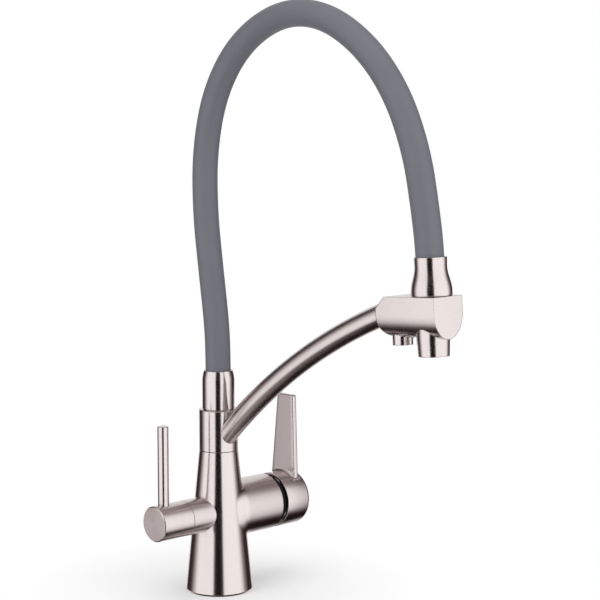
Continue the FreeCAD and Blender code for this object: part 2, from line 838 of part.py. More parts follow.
filter_outlet = -s.filter_outlet_distance
outlet_bottom = s.block_depth + s.outlet_drop
filter_outlet_bottom = s.block_depth + s.filter_outlet_drop
outlet_floor = s.outlet_bore_depth - outlet_bottom
filter_floor = s.filter_outlet_bore_depth - filter_outlet_bottom
turn(head_block, "outlet", [
    (0, -outlet_bottom),
    (s.outlet_lip_radius, -outlet_bottom),
    (s.outlet_radius, -s.block_depth),
    (s.outlet_radius, -s.block_side),
    (0, -s.block_side),
])
turn(head_block, "filter_outlet", ring(
    0, s.filter_outlet_radius, -filter_outlet_bottom, -s.block_side
), along=filter_outlet)
groove(head_block, "outlet_recess", ring(0, s.outlet_bore_radius, -outlet_bottom, outlet_floor))
groove(head_block, "filter_recess", ring(
    0, s.filter_outlet_bore_radius, -filter_outlet_bottom, filter_floor
), along=filter_outlet)
keep_on_head(head_block)

aerator_radius = s.outlet_bore_radius - s.thread_gap
aerator_bottom = s.outlet_inset - outlet_bottom
keep_on_head(turned_part("aerator", ring(0, aerator_radius, aerator_bottom, outlet_floor)))

straightener_radius = s.filter_outlet_bore_radius - s.thread_gap
straightener_bottom = s.outlet_inset - filter_outlet_bottom
straightener = new_body("flow_straightener")
turn(straightener, "profile", ring(
    0, straightener_radius, straightener_bottom, filter_floor
), along=filter_outlet)
keep_on_head(straightener)

# Rigid arm: a tube bent to one radius, from a point on the collar's axis to a point in the head block.
# It is drawn with its start along Z, then leans forward. The collar trims its root and the head block
# its tip, so that both ends fit the faces they are joined to.

arm_root_height = s.seam_height + s.arm_root_rise
tilt_sine = sine_of(s.head_tilt)
tilt_cosine = cosine_of(s.head_tilt)
arm_run = s.reach - s.arm_tip_back * tilt_cosine + s.arm_tip_drop * tilt_sine
arm_rise = s.head_height - s.arm_tip_back * tilt_sine - s.arm_tip_drop * tilt_cosine - arm_root_height
arm_chord = root_of(arm_run * arm_run + arm_rise * arm_rise)
half_sweep = angle_with_sine(arm_chord / (s.arm_bend_radius * 2))
arm_slope = angle_with_tangent(arm_run / arm_rise) - half_sweep

arm_tube = new_body("arm_tube")
arm_section = new_sketch(arm_tube, "section", "XY_Plane")
draw_circle(arm_section, 0, 0, s.arm_radius)
bend_axis = arm_section.addGeometry(Part.LineSegment(
    Vector(-s.arm_radius.value, -s.arm_bend_radius.value, 0),
    Vector(s.arm_radius.value, -s.arm_bend_radius.value, 0),
), True)
hold_point(arm_section, bend_axis, 1, -s.arm_radius, -s.arm_bend_radius)
hold_point(arm_section, bend_axis, 2, s.arm_radius, -s.arm_bend_radius)
arm_bend = arm_tube.newObject("PartDesign::Revolution", "bend")
arm_bend.Profile = arm_section
arm_bend.ReferenceAxis = (arm_section, ["Axis0"])
arm_bend.Angle = half_sweep.value * 2
arm_bend.setExpression("Angle", f"2 * {half_sweep.text}")
settle(arm_tube, z=arm_root_height, axis=Vector(1, 0, 0), angle=arm_slope)

arm_seat = document.addObject("Part::Cylinder", "arm_seat")
arm_seat.setExpression("Radius", s.collar_radius.text)
arm_seat.setExpression("Height", collar_top.text)
trimmed_arm = document.addObject("Part::Cut", "trimmed_arm")
trimmed_arm.Base = arm_tube
trimmed_arm.Tool = arm_seat
spout_arm = document.addObject("Part::Cut", "spout_arm")
spout_arm.Base = trimmed_arm
spout_arm.Tool = head_block
keep(spout_arm, "spout_arm")

# Spout hose. The route's corners lie in the plane of the arm, as (y, z). The ends stand on the floors
# of the ferrules, along the collar's axis and along the bell's.

HOSE_ROUTE = [
    (1, 214),
    (8, 259),
    (15, 307),
    (15, 356),
    (2, 403),
    (-28, 440),
    (-73, 461),
    (-119, 459),
    (-162, 436),
    (-194, 402),
    (-214, 360),
    (-223, 318),
]
LOWER_END_RUN = 30.0
UPPER_END_RUN = 25.7
BEND_SHARE = 0.45


def on_bell_axis(height):
    """A place on the bell's axis, at a height above the head block."""
    tilt = math.radians(sheet.head_tilt)
    return Vector(0, height * math.sin(tilt) - sheet.reach, sheet.head_height + height * math.cos(tilt))


hose_corners = [Vector(0, 0, hose_foot.value), Vector(0, 0, hose_foot.value + LOWER_END_RUN)]
hose_corners += [Vector(0, y, z) for y, z in HOSE_ROUTE]
hose_corners += [on_bell_axis(sheet.ferrule_floor + UPPER_END_RUN), on_bell_axis(sheet.ferrule_floor)]


def rounded_route(corners):
    """Straight runs joined by tangent arcs, each as wide as the shorter of its two runs allows."""
    edges = []
    radii = []
    leave = corners[0]
    for before, corner, after in zip(corners, corners[1:], corners[2:]):
        back = before - corner
        ahead = after - corner
        reach_along = BEND_SHARE * min(back.Length, ahead.Length)
        back.normalize()
        ahead.normalize()
        half_turn = (math.pi - back.getAngle(ahead)) / 2
        radius = reach_along / math.tan(half_turn)
        arrive = corner + back * reach_along
        depart = corner + ahead * reach_along
        to_centre = (back + ahead).normalize()
        middle = corner + to_centre * (radius / math.cos(half_turn) - radius)
        edges.append(Part.LineSegment(leave, arrive).toShape())
        edges.append(Part.Arc(arrive, middle, depart).toShape())
        radii.append(radius)
        leave = depart
    edges.append(Part.LineSegment(leave, corners[-1]).toShape())
    return Part.Wire(edges), radii


hose_route, hose_radii = rounded_route(hose_corners)
print("hose bend radii:", [round(radius) for radius in hose_radii])

hose_circle = Part.Circle(hose_corners[0], Vector(0, 0, 1), sheet.hose_radius)
hose_section = Part.Face(Part.Wire(hose_circle.toShape()))
spout_hose = document.addObject("Part::Feature", "spout_hose")
spout_hose.Shape = hose_route.makePipe(hose_section)
ratio = spout_hose.Shape.Volume / (hose_section.Area * hose_route.Length)
print(f"hose: {hose_route.Length:.1f} mm long, volume {ratio:.4f} of its section times its length")
keep(spout_hose, "spout_hose")

# Checks and export

document.recompute()
for item in document.Objects:
    if "Invalid" in item.State or "Error" in item.State:
        raise RuntimeError(f"{item.Name}: {item.State}")
    if item.TypeId == "Sketcher::SketchObject" and not item.FullyConstrained:
        raise RuntimeError(f"{item.Name} is not fully constrained")

os.makedirs("parts", exist_ok=True)
for item in SUBPARTS:
    if item.Shape.isNull() or not item.Shape.isValid() or len(item.Shape.Solids) != 1:
        raise RuntimeError(f"{item.Label} isn't one valid solid")
    item.Shape.exportStep(f"parts/{item.Label}.step")
    print(f"{item.Label}: {item.Shape.Volume / 1000:.2f} cm3")
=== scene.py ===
# %% [markdown]
# # A two-way kitchen mixer with a flexible spout
#
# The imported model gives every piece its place. This lesson dresses it: a camera like the
# photographer's, a pale studio, brushed nickel, a silicone hose, and finer pieces where the plain
# solids are too plain.
#
# Blender works in metres here, and the origin is the middle of the mixer's base. The mixer's sizes
# are written in millimetres, as on a workshop drawing, and MM turns them into metres, at once or
# when a mesh's points are made. The studio's sizes are in metres.

# %% Load the frame
import math

import bmesh
import bpy
from mathutils import Matrix, Vector


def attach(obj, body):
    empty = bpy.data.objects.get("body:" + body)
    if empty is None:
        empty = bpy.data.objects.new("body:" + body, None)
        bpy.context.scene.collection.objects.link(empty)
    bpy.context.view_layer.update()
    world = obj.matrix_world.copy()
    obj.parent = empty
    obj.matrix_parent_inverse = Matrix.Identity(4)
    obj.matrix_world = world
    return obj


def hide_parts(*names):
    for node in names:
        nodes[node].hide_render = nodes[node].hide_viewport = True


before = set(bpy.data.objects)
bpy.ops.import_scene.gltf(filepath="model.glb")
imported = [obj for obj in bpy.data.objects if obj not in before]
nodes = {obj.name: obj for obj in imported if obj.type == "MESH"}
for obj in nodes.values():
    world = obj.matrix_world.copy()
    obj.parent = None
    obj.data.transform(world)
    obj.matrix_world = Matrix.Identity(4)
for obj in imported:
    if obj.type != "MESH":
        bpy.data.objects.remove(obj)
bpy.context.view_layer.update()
MM = 0.001

# %% [markdown]
# ## The camera
#
# A product photographer stands well back with a long lens, so that a tall tap doesn't lean. The
# camera could be placed by eye, but the tap's round parts give it away: how far each circle opens
# tells how far below the lens it lies. Those circles gave the distance, the height and the two
# angles used here.

# %% Camera
CAMERA_DISTANCE = 1335.5 * MM
CAMERA_BEARING = math.radians(40.743)
CAMERA_HEIGHT = 387.5 * MM
LOOK_BEARING = math.radians(43.568)
LOOK_DOWN = math.radians(6.446)
FOCAL_LENGTH = 100.48
SENSOR_WIDTH = 36.0

camera_data = bpy.data.cameras.new("camera")
camera_data.lens = FOCAL_LENGTH
camera_data.sensor_width = SENSOR_WIDTH
camera = bpy.data.objects.new("camera", camera_data)
camera.location = (
    -CAMERA_DISTANCE * math.sin(CAMERA_BEARING),
    -CAMERA_DISTANCE * math.cos(CAMERA_BEARING),
    CAMERA_HEIGHT,
)
look = Vector((
    math.sin(LOOK_BEARING) * math.cos(LOOK_DOWN),
    math.cos(LOOK_BEARING) * math.cos(LOOK_DOWN),
    -math.sin(LOOK_DOWN),
))
camera.rotation_mode = "QUATERNION"
camera.rotation_quaternion = look.to_track_quat("-Z", "Y")
bpy.context.scene.collection.objects.link(camera)
bpy.context.scene.camera = camera
print("camera at", [round(value, 3) for value in camera.location])

# %% [markdown]
# ## Helpers for nodes
#
# A material is a small machine of nodes. These helpers keep the cells short. An output is written
# as a pair, the node and the name of its output, so that one helper's answer can be the next one's
# input.

# %% Node helpers
def add_node(tree, kind, **inputs):
    """Adds a node and sets its inputs by name, with underscores for spaces."""
    node = tree.nodes.new(kind)
    for name, value in inputs.items():
        feed(tree, value, node.inputs[name.replace("_", " ")])
    return node


def feed(tree, source, socket):
    """Links a (node, output) pair to a socket, or writes a plain value into it."""
    if isinstance(source, tuple) and isinstance(source[0], bpy.types.Node):
        tree.links.new(source[0].outputs[source[1]], socket)
    else:
        socket.default_value = source


def vector_math(tree, operation, *sources):
    """One step of reckoning with directions and places."""
    node = tree.nodes.new("ShaderNodeVectorMath")
    node.operation = operation
    for socket, source in zip(node.inputs, sources):
        feed(tree, source, socket)
    return node, "Value" if operation == "LENGTH" else "Vector"


def number_math(tree, operation, *sources):
    """One step of reckoning with plain numbers."""
    node = tree.nodes.new("ShaderNodeMath")
    node.operation = operation
    for socket, source in zip(node.inputs, sources):
        feed(tree, source, socket)
    return node, "Value"


print("node helpers ready")

# %% [markdown]
# Most finishes begin with the same few parts: an empty material, a noise drawn out along one
# direction, and a spread of its values over a range of roughness or between two colours.

# %% Texture helpers
NOISE_ROUGHNESS = 0.6


def new_material(name):
    """A material with an empty tree that ends in a Principled shader."""
    material = bpy.data.materials.new(name)
    material.use_nodes = True
    tree = material.node_tree
    tree.nodes.clear()
    shader = tree.nodes.new("ShaderNodeBsdfPrincipled")
    out = tree.nodes.new("ShaderNodeOutputMaterial")
    tree.links.new(shader.outputs["BSDF"], out.inputs["Surface"])
    return material, tree, shader


def stretched_noise(tree, stretch, scale=1.0, detail=3.0):
    """Noise drawn out along one direction. A large factor in stretch means fine grain that way."""
    place = tree.nodes.new("ShaderNodeTexCoord")
    mapping = add_node(tree, "ShaderNodeMapping", Vector=(place, "Object"), Scale=stretch)
    return add_node(
        tree, "ShaderNodeTexNoise",
        Vector=(mapping, "Vector"), Scale=scale, Detail=detail, Roughness=NOISE_ROUGHNESS,
    ), "Fac"


def ranged(tree, source, low, high):
    """Spreads a texture's 0 to 1 over a range."""
    return add_node(tree, "ShaderNodeMapRange", Value=source, To_Min=low, To_Max=high), "Result"


def mixed_colour(tree, source, first, second):
    """Goes from one colour to another as a texture goes from 0 to 1."""
    return add_node(
        tree, "ShaderNodeMixRGB", Fac=source, Color1=(*first, 1.0), Color2=(*second, 1.0)
    ), "Color"


print("texture helpers ready")

# %% [markdown]
# ## Brushed nickel
#
# The metal is plated with nickel, then brushed with a fine abrasive belt while it turns. The brush
# leaves hair-fine lines round each piece. They spread a reflection across the lines and keep it
# crisp along them, so a round piece shows long streaks of light and dark. Nickel is slightly warm.
#
# The streaks could be painted, but then they would not move with the light. Here the shader's
# anisotropy makes them: its tangent is the direction in which a reflection spreads. On a turned
# piece that is square to the brush lines, which run round the axis, and square to the surface's
# normal. Two cross products give it on the sides, the end faces and the rounded edges alike.
#
# A noise drawn out along the brush lines breaks up the colour, the roughness and the surface. A
# Bevel node rounds the look of every edge a little, as a real casting's edges are.

# %% Brushed nickel
NICKEL = (0.66, 0.598, 0.590)
LINE_SHADE = 0.9
NICKEL_IN_LINES = [LINE_SHADE * part for part in NICKEL]
NICKEL_ROUGHNESS = 0.21
ROUGHNESS_SPREAD = 0.04
NICKEL_ANISOTROPY = 0.7
LINES = 1500.0
ALONG = 12.0
BRUSH_DEPTH = 0.003 * MM
GRAIN_STRENGTH = 0.3
BLOTCH_SCALE = 30.0
BLOTCH_DETAIL = 2.0
EDGE_ROUND = 0.45 * MM
EDGE_SAMPLES = 6
print("nickel:", NICKEL, "roughness:", NICKEL_ROUGHNESS)

# %% [markdown]
# The tangent has to turn with the piece when the mixer moves. So it is worked out on the piece
# itself, and then turned into the room's directions, in which the shader wants it.

# %% Brush directions
def turn_with_piece(tree, direction):
    """A direction that is fixed on the piece and turns with it."""
    turned = add_node(tree, "ShaderNodeVectorTransform", Vector=direction)
    turned.convert_from = "OBJECT"
    turned.convert_to = "WORLD"
    return turned, "Vector"


def square_to(tree, lines):
    """The direction on the surface that is square to the brush lines."""
    surface = tree.nodes.new("ShaderNodeNewGeometry")
    return vector_math(tree, "CROSS_PRODUCT", turn_with_piece(tree, lines), (surface, "Normal"))


def lines_round(tree, axis, origin):
    """The direction of brush lines that run round an axis through an origin."""
    place = (tree.nodes.new("ShaderNodeTexCoord"), "Object")
    return vector_math(tree, "CROSS_PRODUCT", axis, vector_math(tree, "SUBTRACT", place, origin))


print("brush directions ready")

# %% [markdown]
# All the nickels share one recipe. Only the grain, the soft patches in it and the tangent differ.

# %% The nickel's recipe
def blotches(tree, stretch):
    """Soft large patches, where the brush bit a little more or less."""
    return stretched_noise(tree, stretch, BLOTCH_SCALE, BLOTCH_DETAIL)


def brush(material, tree, shader, grain, blotch, tangent, edge_round=EDGE_ROUND):
    """What all the nickels share: colour, roughness, brush lines and soft edges."""
    smoothest = NICKEL_ROUGHNESS - ROUGHNESS_SPREAD
    roughest = NICKEL_ROUGHNESS + ROUGHNESS_SPREAD
    feed(tree, mixed_colour(tree, grain, NICKEL, NICKEL_IN_LINES), shader.inputs["Base Color"])
    feed(tree, ranged(tree, blotch, smoothest, roughest), shader.inputs["Roughness"])
    feed(tree, tangent, shader.inputs["Tangent"])
    shader.inputs["Metallic"].default_value = 1.0
    shader.inputs["Anisotropic"].default_value = NICKEL_ANISOTROPY
    edge = add_node(tree, "ShaderNodeBevel", Radius=edge_round)
    edge.samples = EDGE_SAMPLES
    bump = add_node(
        tree, "ShaderNodeBump",
        Strength=GRAIN_STRENGTH, Distance=BRUSH_DEPTH, Height=grain, Normal=(edge, "Normal"),
    )
    feed(tree, (bump, "Normal"), shader.inputs["Normal"])
    return material


print("recipe ready")

# %% [markdown]
# The collar, the ferrule and the rod were turned upright. The handle's cap and the knob were turned
# round the branches' own axis, which lies along X.

# %% Turned nickels
def turned_nickel(name, grain, streak, axis, origin):
    """Nickel that was brushed while it turned round an axis."""
    material, tree, shader = new_material(name)
    fine = stretched_noise(tree, grain)
    tangent = square_to(tree, lines_round(tree, axis, origin))
    return brush(material, tree, shader, fine, blotches(tree, streak), tangent)


BRANCH_HEIGHT = 64.5
ROD_DISTANCE = 57.6
X_AXIS = (1, 0, 0)
Z_AXIS = (0, 0, 1)
BASE_MIDDLE = (0, 0, 0)
BRANCH_MIDDLE = (0, 0, BRANCH_HEIGHT * MM)
ROD_MIDDLE = (-ROD_DISTANCE * MM, 0, 0)
ROUND_UPRIGHT = (ALONG, ALONG, LINES)
ROUND_BRANCH = (LINES, ALONG, ALONG)
BANDS_UPRIGHT = (1, 1, 6)
BANDS_BRANCH = (6, 1, 1)

upright_nickel = turned_nickel(
    "nickel_turned_upright", ROUND_UPRIGHT, BANDS_UPRIGHT, Z_AXIS, BASE_MIDDLE
)
rod_nickel = turned_nickel(
    "nickel_turned_rod", ROUND_UPRIGHT, BANDS_UPRIGHT, Z_AXIS, ROD_MIDDLE
)
branch_nickel = turned_nickel(
    "nickel_turned_branch", ROUND_BRANCH, BANDS_BRANCH, X_AXIS, BRANCH_MIDDLE
)
print("turned nickels:", upright_nickel.name, rod_nickel.name, branch_nickel.name)

# %% [markdown]
# The head block, the bell and the blade are brushed by hand, in straight strokes. For these a fixed
# direction is enough. It leans a little, so that it lies along no face's normal. The head's edges
# are a little rounder than the rest.

# %% Straight brushing
HEAD_SPREAD = (0, 0.3, 1)
BLADE_SPREAD = (0.3, 1, 0)
STRAIGHT_UP = (LINES, LINES, ALONG)


def straight_nickel(name, grain, spread, edge_round=EDGE_ROUND):
    """Nickel that was brushed in straight strokes. Reflections spread along the given direction."""
    material, tree, shader = new_material(name)
    fine = stretched_noise(tree, grain)
    tangent = turn_with_piece(tree, spread)
    return brush(material, tree, shader, fine, blotches(tree, (3, 3, 3)), tangent, edge_round)


head_nickel = straight_nickel("nickel_brushed_head", ROUND_UPRIGHT, HEAD_SPREAD, 2 * EDGE_ROUND)
blade_nickel = straight_nickel("nickel_brushed_blade", STRAIGHT_UP, BLADE_SPREAD)
print("straight nickels:", head_nickel.name, blade_nickel.name)

# %% [markdown]
# The arm is bent, so its lines run round a bent length. A tube that is bent in one plane has its
# length square to its normal and to the plane's own direction, and one cross product gives that.

# %% The arm's nickel
ARM_LINES = 0.7 * LINES

arm_nickel, arm_tree, arm_shader = new_material("nickel_brushed_arm")
arm_grain = stretched_noise(arm_tree, (ALONG, ARM_LINES, ARM_LINES))
arm_blotch = blotches(arm_tree, (1, 3, 3))
brush(arm_nickel, arm_tree, arm_shader, arm_grain, arm_blotch, square_to(arm_tree, X_AXIS))
print("arm nickel:", len(arm_tree.nodes), "nodes")

# %% [markdown]
# The body is one casting with two directions in it: it is brushed round the cone, and round each
# branch. The branches stand out further from the Z axis than the cone does at the same height, so
# the material can tell by that where it is, and it changes over softly at the cone's side.

# %% The body's nickel
CONE_FOOT_RADIUS = 27.25
CONE_TOP_RADIUS = 15.75
CONE_HEIGHT = 115.2
CONE_NARROWING = (CONE_FOOT_RADIUS - CONE_TOP_RADIUS) / CONE_HEIGHT
CHANGEOVER_START = 0.1
CHANGEOVER_END = 2.5

body_nickel, body_tree, body_shader = new_material("nickel_brushed_body")
body_place = (body_tree.nodes.new("ShaderNodeTexCoord"), "Object")
height = (add_node(body_tree, "ShaderNodeSeparateXYZ", Vector=body_place), "Z")
level_place = vector_math(body_tree, "MULTIPLY", body_place, (1, 1, 0))
outward = vector_math(body_tree, "LENGTH", level_place)
narrowing = number_math(body_tree, "MULTIPLY", height, CONE_NARROWING)
cone_radius = number_math(body_tree, "SUBTRACT", CONE_FOOT_RADIUS * MM, narrowing)
proud = number_math(body_tree, "SUBTRACT", outward, cone_radius)
on_branch = (add_node(
    body_tree, "ShaderNodeMapRange",
    Value=proud, From_Min=CHANGEOVER_START * MM, From_Max=CHANGEOVER_END * MM,
), "Result")
on_cone = number_math(body_tree, "SUBTRACT", 1.0, on_branch)
round_cone = vector_math(body_tree, "SCALE", lines_round(body_tree, Z_AXIS, BASE_MIDDLE))
feed(body_tree, on_cone, round_cone[0].inputs["Scale"])
round_branch = vector_math(body_tree, "SCALE", lines_round(body_tree, X_AXIS, BRANCH_MIDDLE))
feed(body_tree, on_branch, round_branch[0].inputs["Scale"])
body_lines = vector_math(body_tree, "ADD", round_cone, round_branch)
cone_noise = stretched_noise(body_tree, ROUND_UPRIGHT)
cone_grain = number_math(body_tree, "MULTIPLY", cone_noise, on_cone)
branch_noise = stretched_noise(body_tree, ROUND_BRANCH)
branch_grain = number_math(body_tree, "MULTIPLY", branch_noise, on_branch)
body_grain = number_math(body_tree, "ADD", cone_grain, branch_grain)
body_blotch = blotches(body_tree, (2, 2, 4))
body_tangent = square_to(body_tree, body_lines)
brush(body_nickel, body_tree, body_shader, body_grain, body_blotch, body_tangent)
print("body nickel:", len(body_tree.nodes), "nodes")

# %% [markdown]
# ## Silicone, plastics, ceramic and plain metals
#
# The hose is silicone rubber over a water tube: matt, slightly bluish grey, with a very fine
# moulded grain. The rest is seen only in gaps or when the mixer is taken apart, but each piece
# still has its own finish.

# %% Moulded and machined
PATCH_SCALE = 25.0
PATCH_SHADE = 0.06
MOULDED_SPREAD = 0.06
TOOL_MARKS = (900, 60, 60)
TOOL_MARK_SHADE = 0.85
MACHINED_SMOOTHER = 0.05
MACHINED_ROUGHER = 0.08


def moulded(name, colour, roughness, grain_size, grain_depth, gloss=0.5):
    """Rubber, plastic or ceramic: an even colour with a fine grain."""
    material, tree, shader = new_material(name)
    grain = stretched_noise(tree, (1, 1, 1), 1.0 / grain_size)
    patches = stretched_noise(tree, (1, 1, 1), PATCH_SCALE, BLOTCH_DETAIL)
    darker = [part * (1 - PATCH_SHADE) for part in colour]
    lighter = [part * (1 + PATCH_SHADE) for part in colour]
    rough = ranged(tree, grain, roughness - MOULDED_SPREAD, roughness + MOULDED_SPREAD)
    feed(tree, mixed_colour(tree, patches, darker, lighter), shader.inputs["Base Color"])
    feed(tree, rough, shader.inputs["Roughness"])
    shader.inputs["Specular IOR Level"].default_value = gloss
    bump = add_node(
        tree, "ShaderNodeBump", Strength=GRAIN_STRENGTH, Distance=grain_depth, Height=grain
    )
    feed(tree, (bump, "Normal"), shader.inputs["Normal"])
    return material


def machined(name, colour, roughness):
    """A machined metal with faint tool marks."""
    material, tree, shader = new_material(name)
    shader.inputs["Metallic"].default_value = 1.0
    marks = stretched_noise(tree, TOOL_MARKS)
    darker = [TOOL_MARK_SHADE * part for part in colour]
    rough = ranged(tree, marks, roughness - MACHINED_SMOOTHER, roughness + MACHINED_ROUGHER)
    feed(tree, mixed_colour(tree, marks, colour, darker), shader.inputs["Base Color"])
    feed(tree, rough, shader.inputs["Roughness"])
    return material


print("moulded and machined recipes ready")

# %% [markdown]
# Each finish takes its colour, its roughness and, where it is moulded, the size and depth of its
# grain. The ring behind the handle's cap is near black, with less gloss than the rest, so that it
# renders as a black band between two bright pieces.

# %% Other finishes
hose_silicone = moulded("hose_silicone", (0.142, 0.146, 0.172), 0.55, 0.35 * MM, 0.01 * MM)
# Near black and with little gloss, for the black band behind the handle's cap.
black_plastic = moulded(
    "black_plastic", (0.006, 0.006, 0.007), 0.58, 0.5 * MM, 0.02 * MM, gloss=0.2
)
cartridge_plastic = moulded("cartridge_plastic", (0.62, 0.60, 0.56), 0.50, 0.6 * MM, 0.02 * MM)
white_plastic = moulded("white_plastic", (0.78, 0.78, 0.76), 0.42, 0.5 * MM, 0.01 * MM)
lapped_ceramic = moulded("lapped_ceramic", (0.80, 0.77, 0.70), 0.18, 0.3 * MM, 0.003 * MM)
brass = machined("machined_brass", (0.70, 0.50, 0.22), 0.28)
plain_steel = machined("stainless_steel", (0.50, 0.50, 0.50), 0.32)
print("other finishes:", hose_silicone.name, black_plastic.name, brass.name, plain_steel.name)

# %% [markdown]
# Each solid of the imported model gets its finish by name. The solids that a finer piece stands for
# later get one too.

# %% A finish for each solid
FINISHES = [
    (body_nickel, "body_shell"),
    (upright_nickel, "swivel_collar", "lower_hose_ferrule", "hose_bell"),
    (rod_nickel, "filter_rod"),
    (arm_nickel, "spout_arm"),
    (head_nickel, "head_block"),
    (branch_nickel, "mixer_handle", "filter_knob"),
    (black_plastic, "cartridge_nut"),
    (cartridge_plastic, "cartridge_shell", "lever_guide"),
    (lapped_ceramic, "mixing_ceramic_disc"),
    (white_plastic, "aerator", "flow_straightener"),
    (hose_silicone, "spout_hose"),
    (brass, "lever_stem", "filter_valve_body", "filter_spindle", "swivel_spigot"),
    (plain_steel, "pivot_pin", "handle_grub_screw", "knob_grub_screw"),
]
for material, *names in FINISHES:
    for name in names:
        nodes[name].data.materials.clear()
        nodes[name].data.materials.append(material)
print("finished nodes:", sum(len(row) - 1 for row in FINISHES), "of", len(nodes))

# %% [markdown]
# ## The hose
#
# The hose stands on the collar's ferrule, leans back a little, goes over in a high arch and comes
# down into the bell. It could be a row of arcs, as in the solid model, but a real hose has no
# corners in its bend. Its corner points are the control points of a smooth spline here, and the
# tube follows that line.

# %% Hose route
COLLAR_TOP = 148.7 * MM
FERRULE_FLOOR = 4.2 * MM
LOWER_END_RUN = 30.0 * MM
UPPER_END_RUN = 25.7 * MM
REACH = 229.5 * MM
HEAD_HEIGHT = 258.4 * MM
HEAD_TILT = math.radians(3.5)
HOSE_ROUTE = [
    (1, 214),
    (8, 259),
    (15, 307),
    (15, 356),
    (2, 403),
    (-28, 440),
    (-73, 461),
    (-119, 459),
    (-162, 436),
    (-194, 402),
    (-214, 360),
    (-223, 318),
]


def on_bell_axis(height):
    """A point on the bell's axis, at a height above the head block."""
    back = height * math.sin(HEAD_TILT) - REACH
    return Vector((0, back, HEAD_HEIGHT + height * math.cos(HEAD_TILT)))


hose_start = Vector((0, 0, COLLAR_TOP + FERRULE_FLOOR))
hose_corners = [hose_start, hose_start + Vector((0, 0, LOWER_END_RUN))]
hose_corners += [Vector((0, y * MM, z * MM)) for y, z in HOSE_ROUTE]
hose_corners += [on_bell_axis(FERRULE_FLOOR + UPPER_END_RUN), on_bell_axis(FERRULE_FLOOR)]
print("hose points:", len(hose_corners))

# %% [markdown]
# A NURBS spline runs near its control points and has no corners. Its line is read back as a row of
# points, for the tube to follow.

# %% Hose line
STEPS_PER_POINT = 16

route_data = bpy.data.curves.new("hose_route", "CURVE")
route_data.dimensions = "3D"
route_data.resolution_u = STEPS_PER_POINT
spline = route_data.splines.new("NURBS")
spline.points.add(len(hose_corners) - 1)
for point, corner in zip(spline.points, hose_corners):
    point.co = (*corner, 1.0)
spline.order_u = 3
spline.use_endpoint_u = True
route = bpy.data.objects.new("hose_route", route_data)
bpy.context.scene.collection.objects.link(route)
bpy.context.view_layer.update()
line = bpy.data.meshes.new_from_object(route)
hose_line = [vertex.co.copy() for vertex in line.vertices]
bpy.data.objects.remove(route)
hose_length = sum((b - a).length for a, b in zip(hose_line, hose_line[1:]))
print("hose line:", len(hose_line), "points,", round(hose_length / MM, 1), "mm")

# %% [markdown]
# Every finer piece is first a bmesh, a mesh under construction: rings of points are joined with
# faces, and the result becomes an object with soft shading.

# %% Mesh helpers
SMOOTH_BELOW = 35.0
SAME_POINT = 0.001 * MM


def mesh_object(name, work, material, smooth_below=SMOOTH_BELOW):
    """Turns a bmesh into an object with soft shading, sharp where faces meet steeply."""
    bmesh.ops.remove_doubles(work, verts=work.verts, dist=SAME_POINT)
    bmesh.ops.recalc_face_normals(work, faces=work.faces)
    mesh = bpy.data.meshes.new(name)
    work.to_mesh(mesh)
    work.free()
    for face in mesh.polygons:
        face.use_smooth = True
    mesh.set_sharp_from_angle(angle=math.radians(smooth_below))
    mesh.materials.append(material)
    piece = bpy.data.objects.new(name, mesh)
    bpy.context.scene.collection.objects.link(piece)
    return piece


def bridge(work, rings):
    """Joins each closed ring of points to the next with faces."""
    for low, high in zip(rings, rings[1:]):
        for k in range(len(low)):
            work.faces.new((low[k - 1], low[k], high[k], high[k - 1]))


print("mesh helpers ready")

# %% [markdown]
# The tube is rings of points round that line. The line stays in the plane of the arm, so the rings
# need no twist: one side of each ring is always the X direction, and the other is square to the
# line.

# %% Hose tube
HOSE_RADIUS = 10.15 * MM
HOSE_SIDES = 48


def tube_along(points, radius, sides):
    """A closed tube round a line that lies in the YZ plane."""
    work = bmesh.new()
    rings = []
    for i, point in enumerate(points):
        before = points[max(i - 1, 0)]
        after = points[min(i + 1, len(points) - 1)]
        side = Vector((1, 0, 0))
        up = (after - before).normalized().cross(side)
        ring = []
        for k in range(sides):
            turned = 2 * math.pi * k / sides
            spoke = math.cos(turned) * side + math.sin(turned) * up
            ring.append(work.verts.new(point + radius * spoke))
        rings.append(ring)
    bridge(work, rings)
    work.faces.new(rings[0])
    work.faces.new(rings[-1])
    return work


tube = tube_along(hose_line, HOSE_RADIUS, HOSE_SIDES)
hose = mesh_object("spout_hose_tube", tube, hose_silicone)
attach(hose, "spout")
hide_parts("spout_hose")
print("hose:", len(hose.data.polygons), "faces")

# %% [markdown]
# ## Turned pieces
#
# Most of a tap is turned on a lathe: an outline is swept round an axis. Blender's Screw modifier
# could do it, but a short loop of points gives the same mesh and leaves each ring in our hands. A
# lathe tool never leaves a knife edge, so each corner of an outline is written with its own small
# rounding.

# %% Rounded outlines
ROUNDING_STEPS = 5


def rounded(outline):
    """An outline of (radius, height, rounding), in mm, with each corner drawn as a short arc."""
    drawn = []
    for i, (radius, height, rounding) in enumerate(outline):
        here = Vector((radius, height))
        if rounding == 0:
            drawn.append(here)
            continue
        toward_last = (Vector(outline[i - 1][:2]) - here).normalized()
        toward_next = (Vector(outline[(i + 1) % len(outline)][:2]) - here).normalized()
        half_corner = toward_last.angle(toward_next) / 2
        centre = here + (toward_last + toward_next).normalized() * rounding / math.sin(half_corner)
        reach = rounding / math.tan(half_corner)
        start = here + toward_last * reach - centre
        end = here + toward_next * reach - centre
        for step in range(ROUNDING_STEPS + 1):
            share = step / ROUNDING_STEPS
            spoke = start.lerp(end, share).normalized() * rounding
            drawn.append(centre + spoke)
    return drawn


square = [(0, 0, 1), (10, 0, 1), (10, 10, 1), (0, 10, 1)]
print("a square with rounded corners:", len(rounded(square)), "points")

# %% [markdown]
# The outline is swept round the Z axis of a place. The mixer has three such places: upright on its
# base, along the branches, and tilted with the head.

# %% Lathe
LATHE_SIDES = 128
SMALL_PIECE_SIDES = 64
SHORTEST_EDGE = 0.0005 * MM


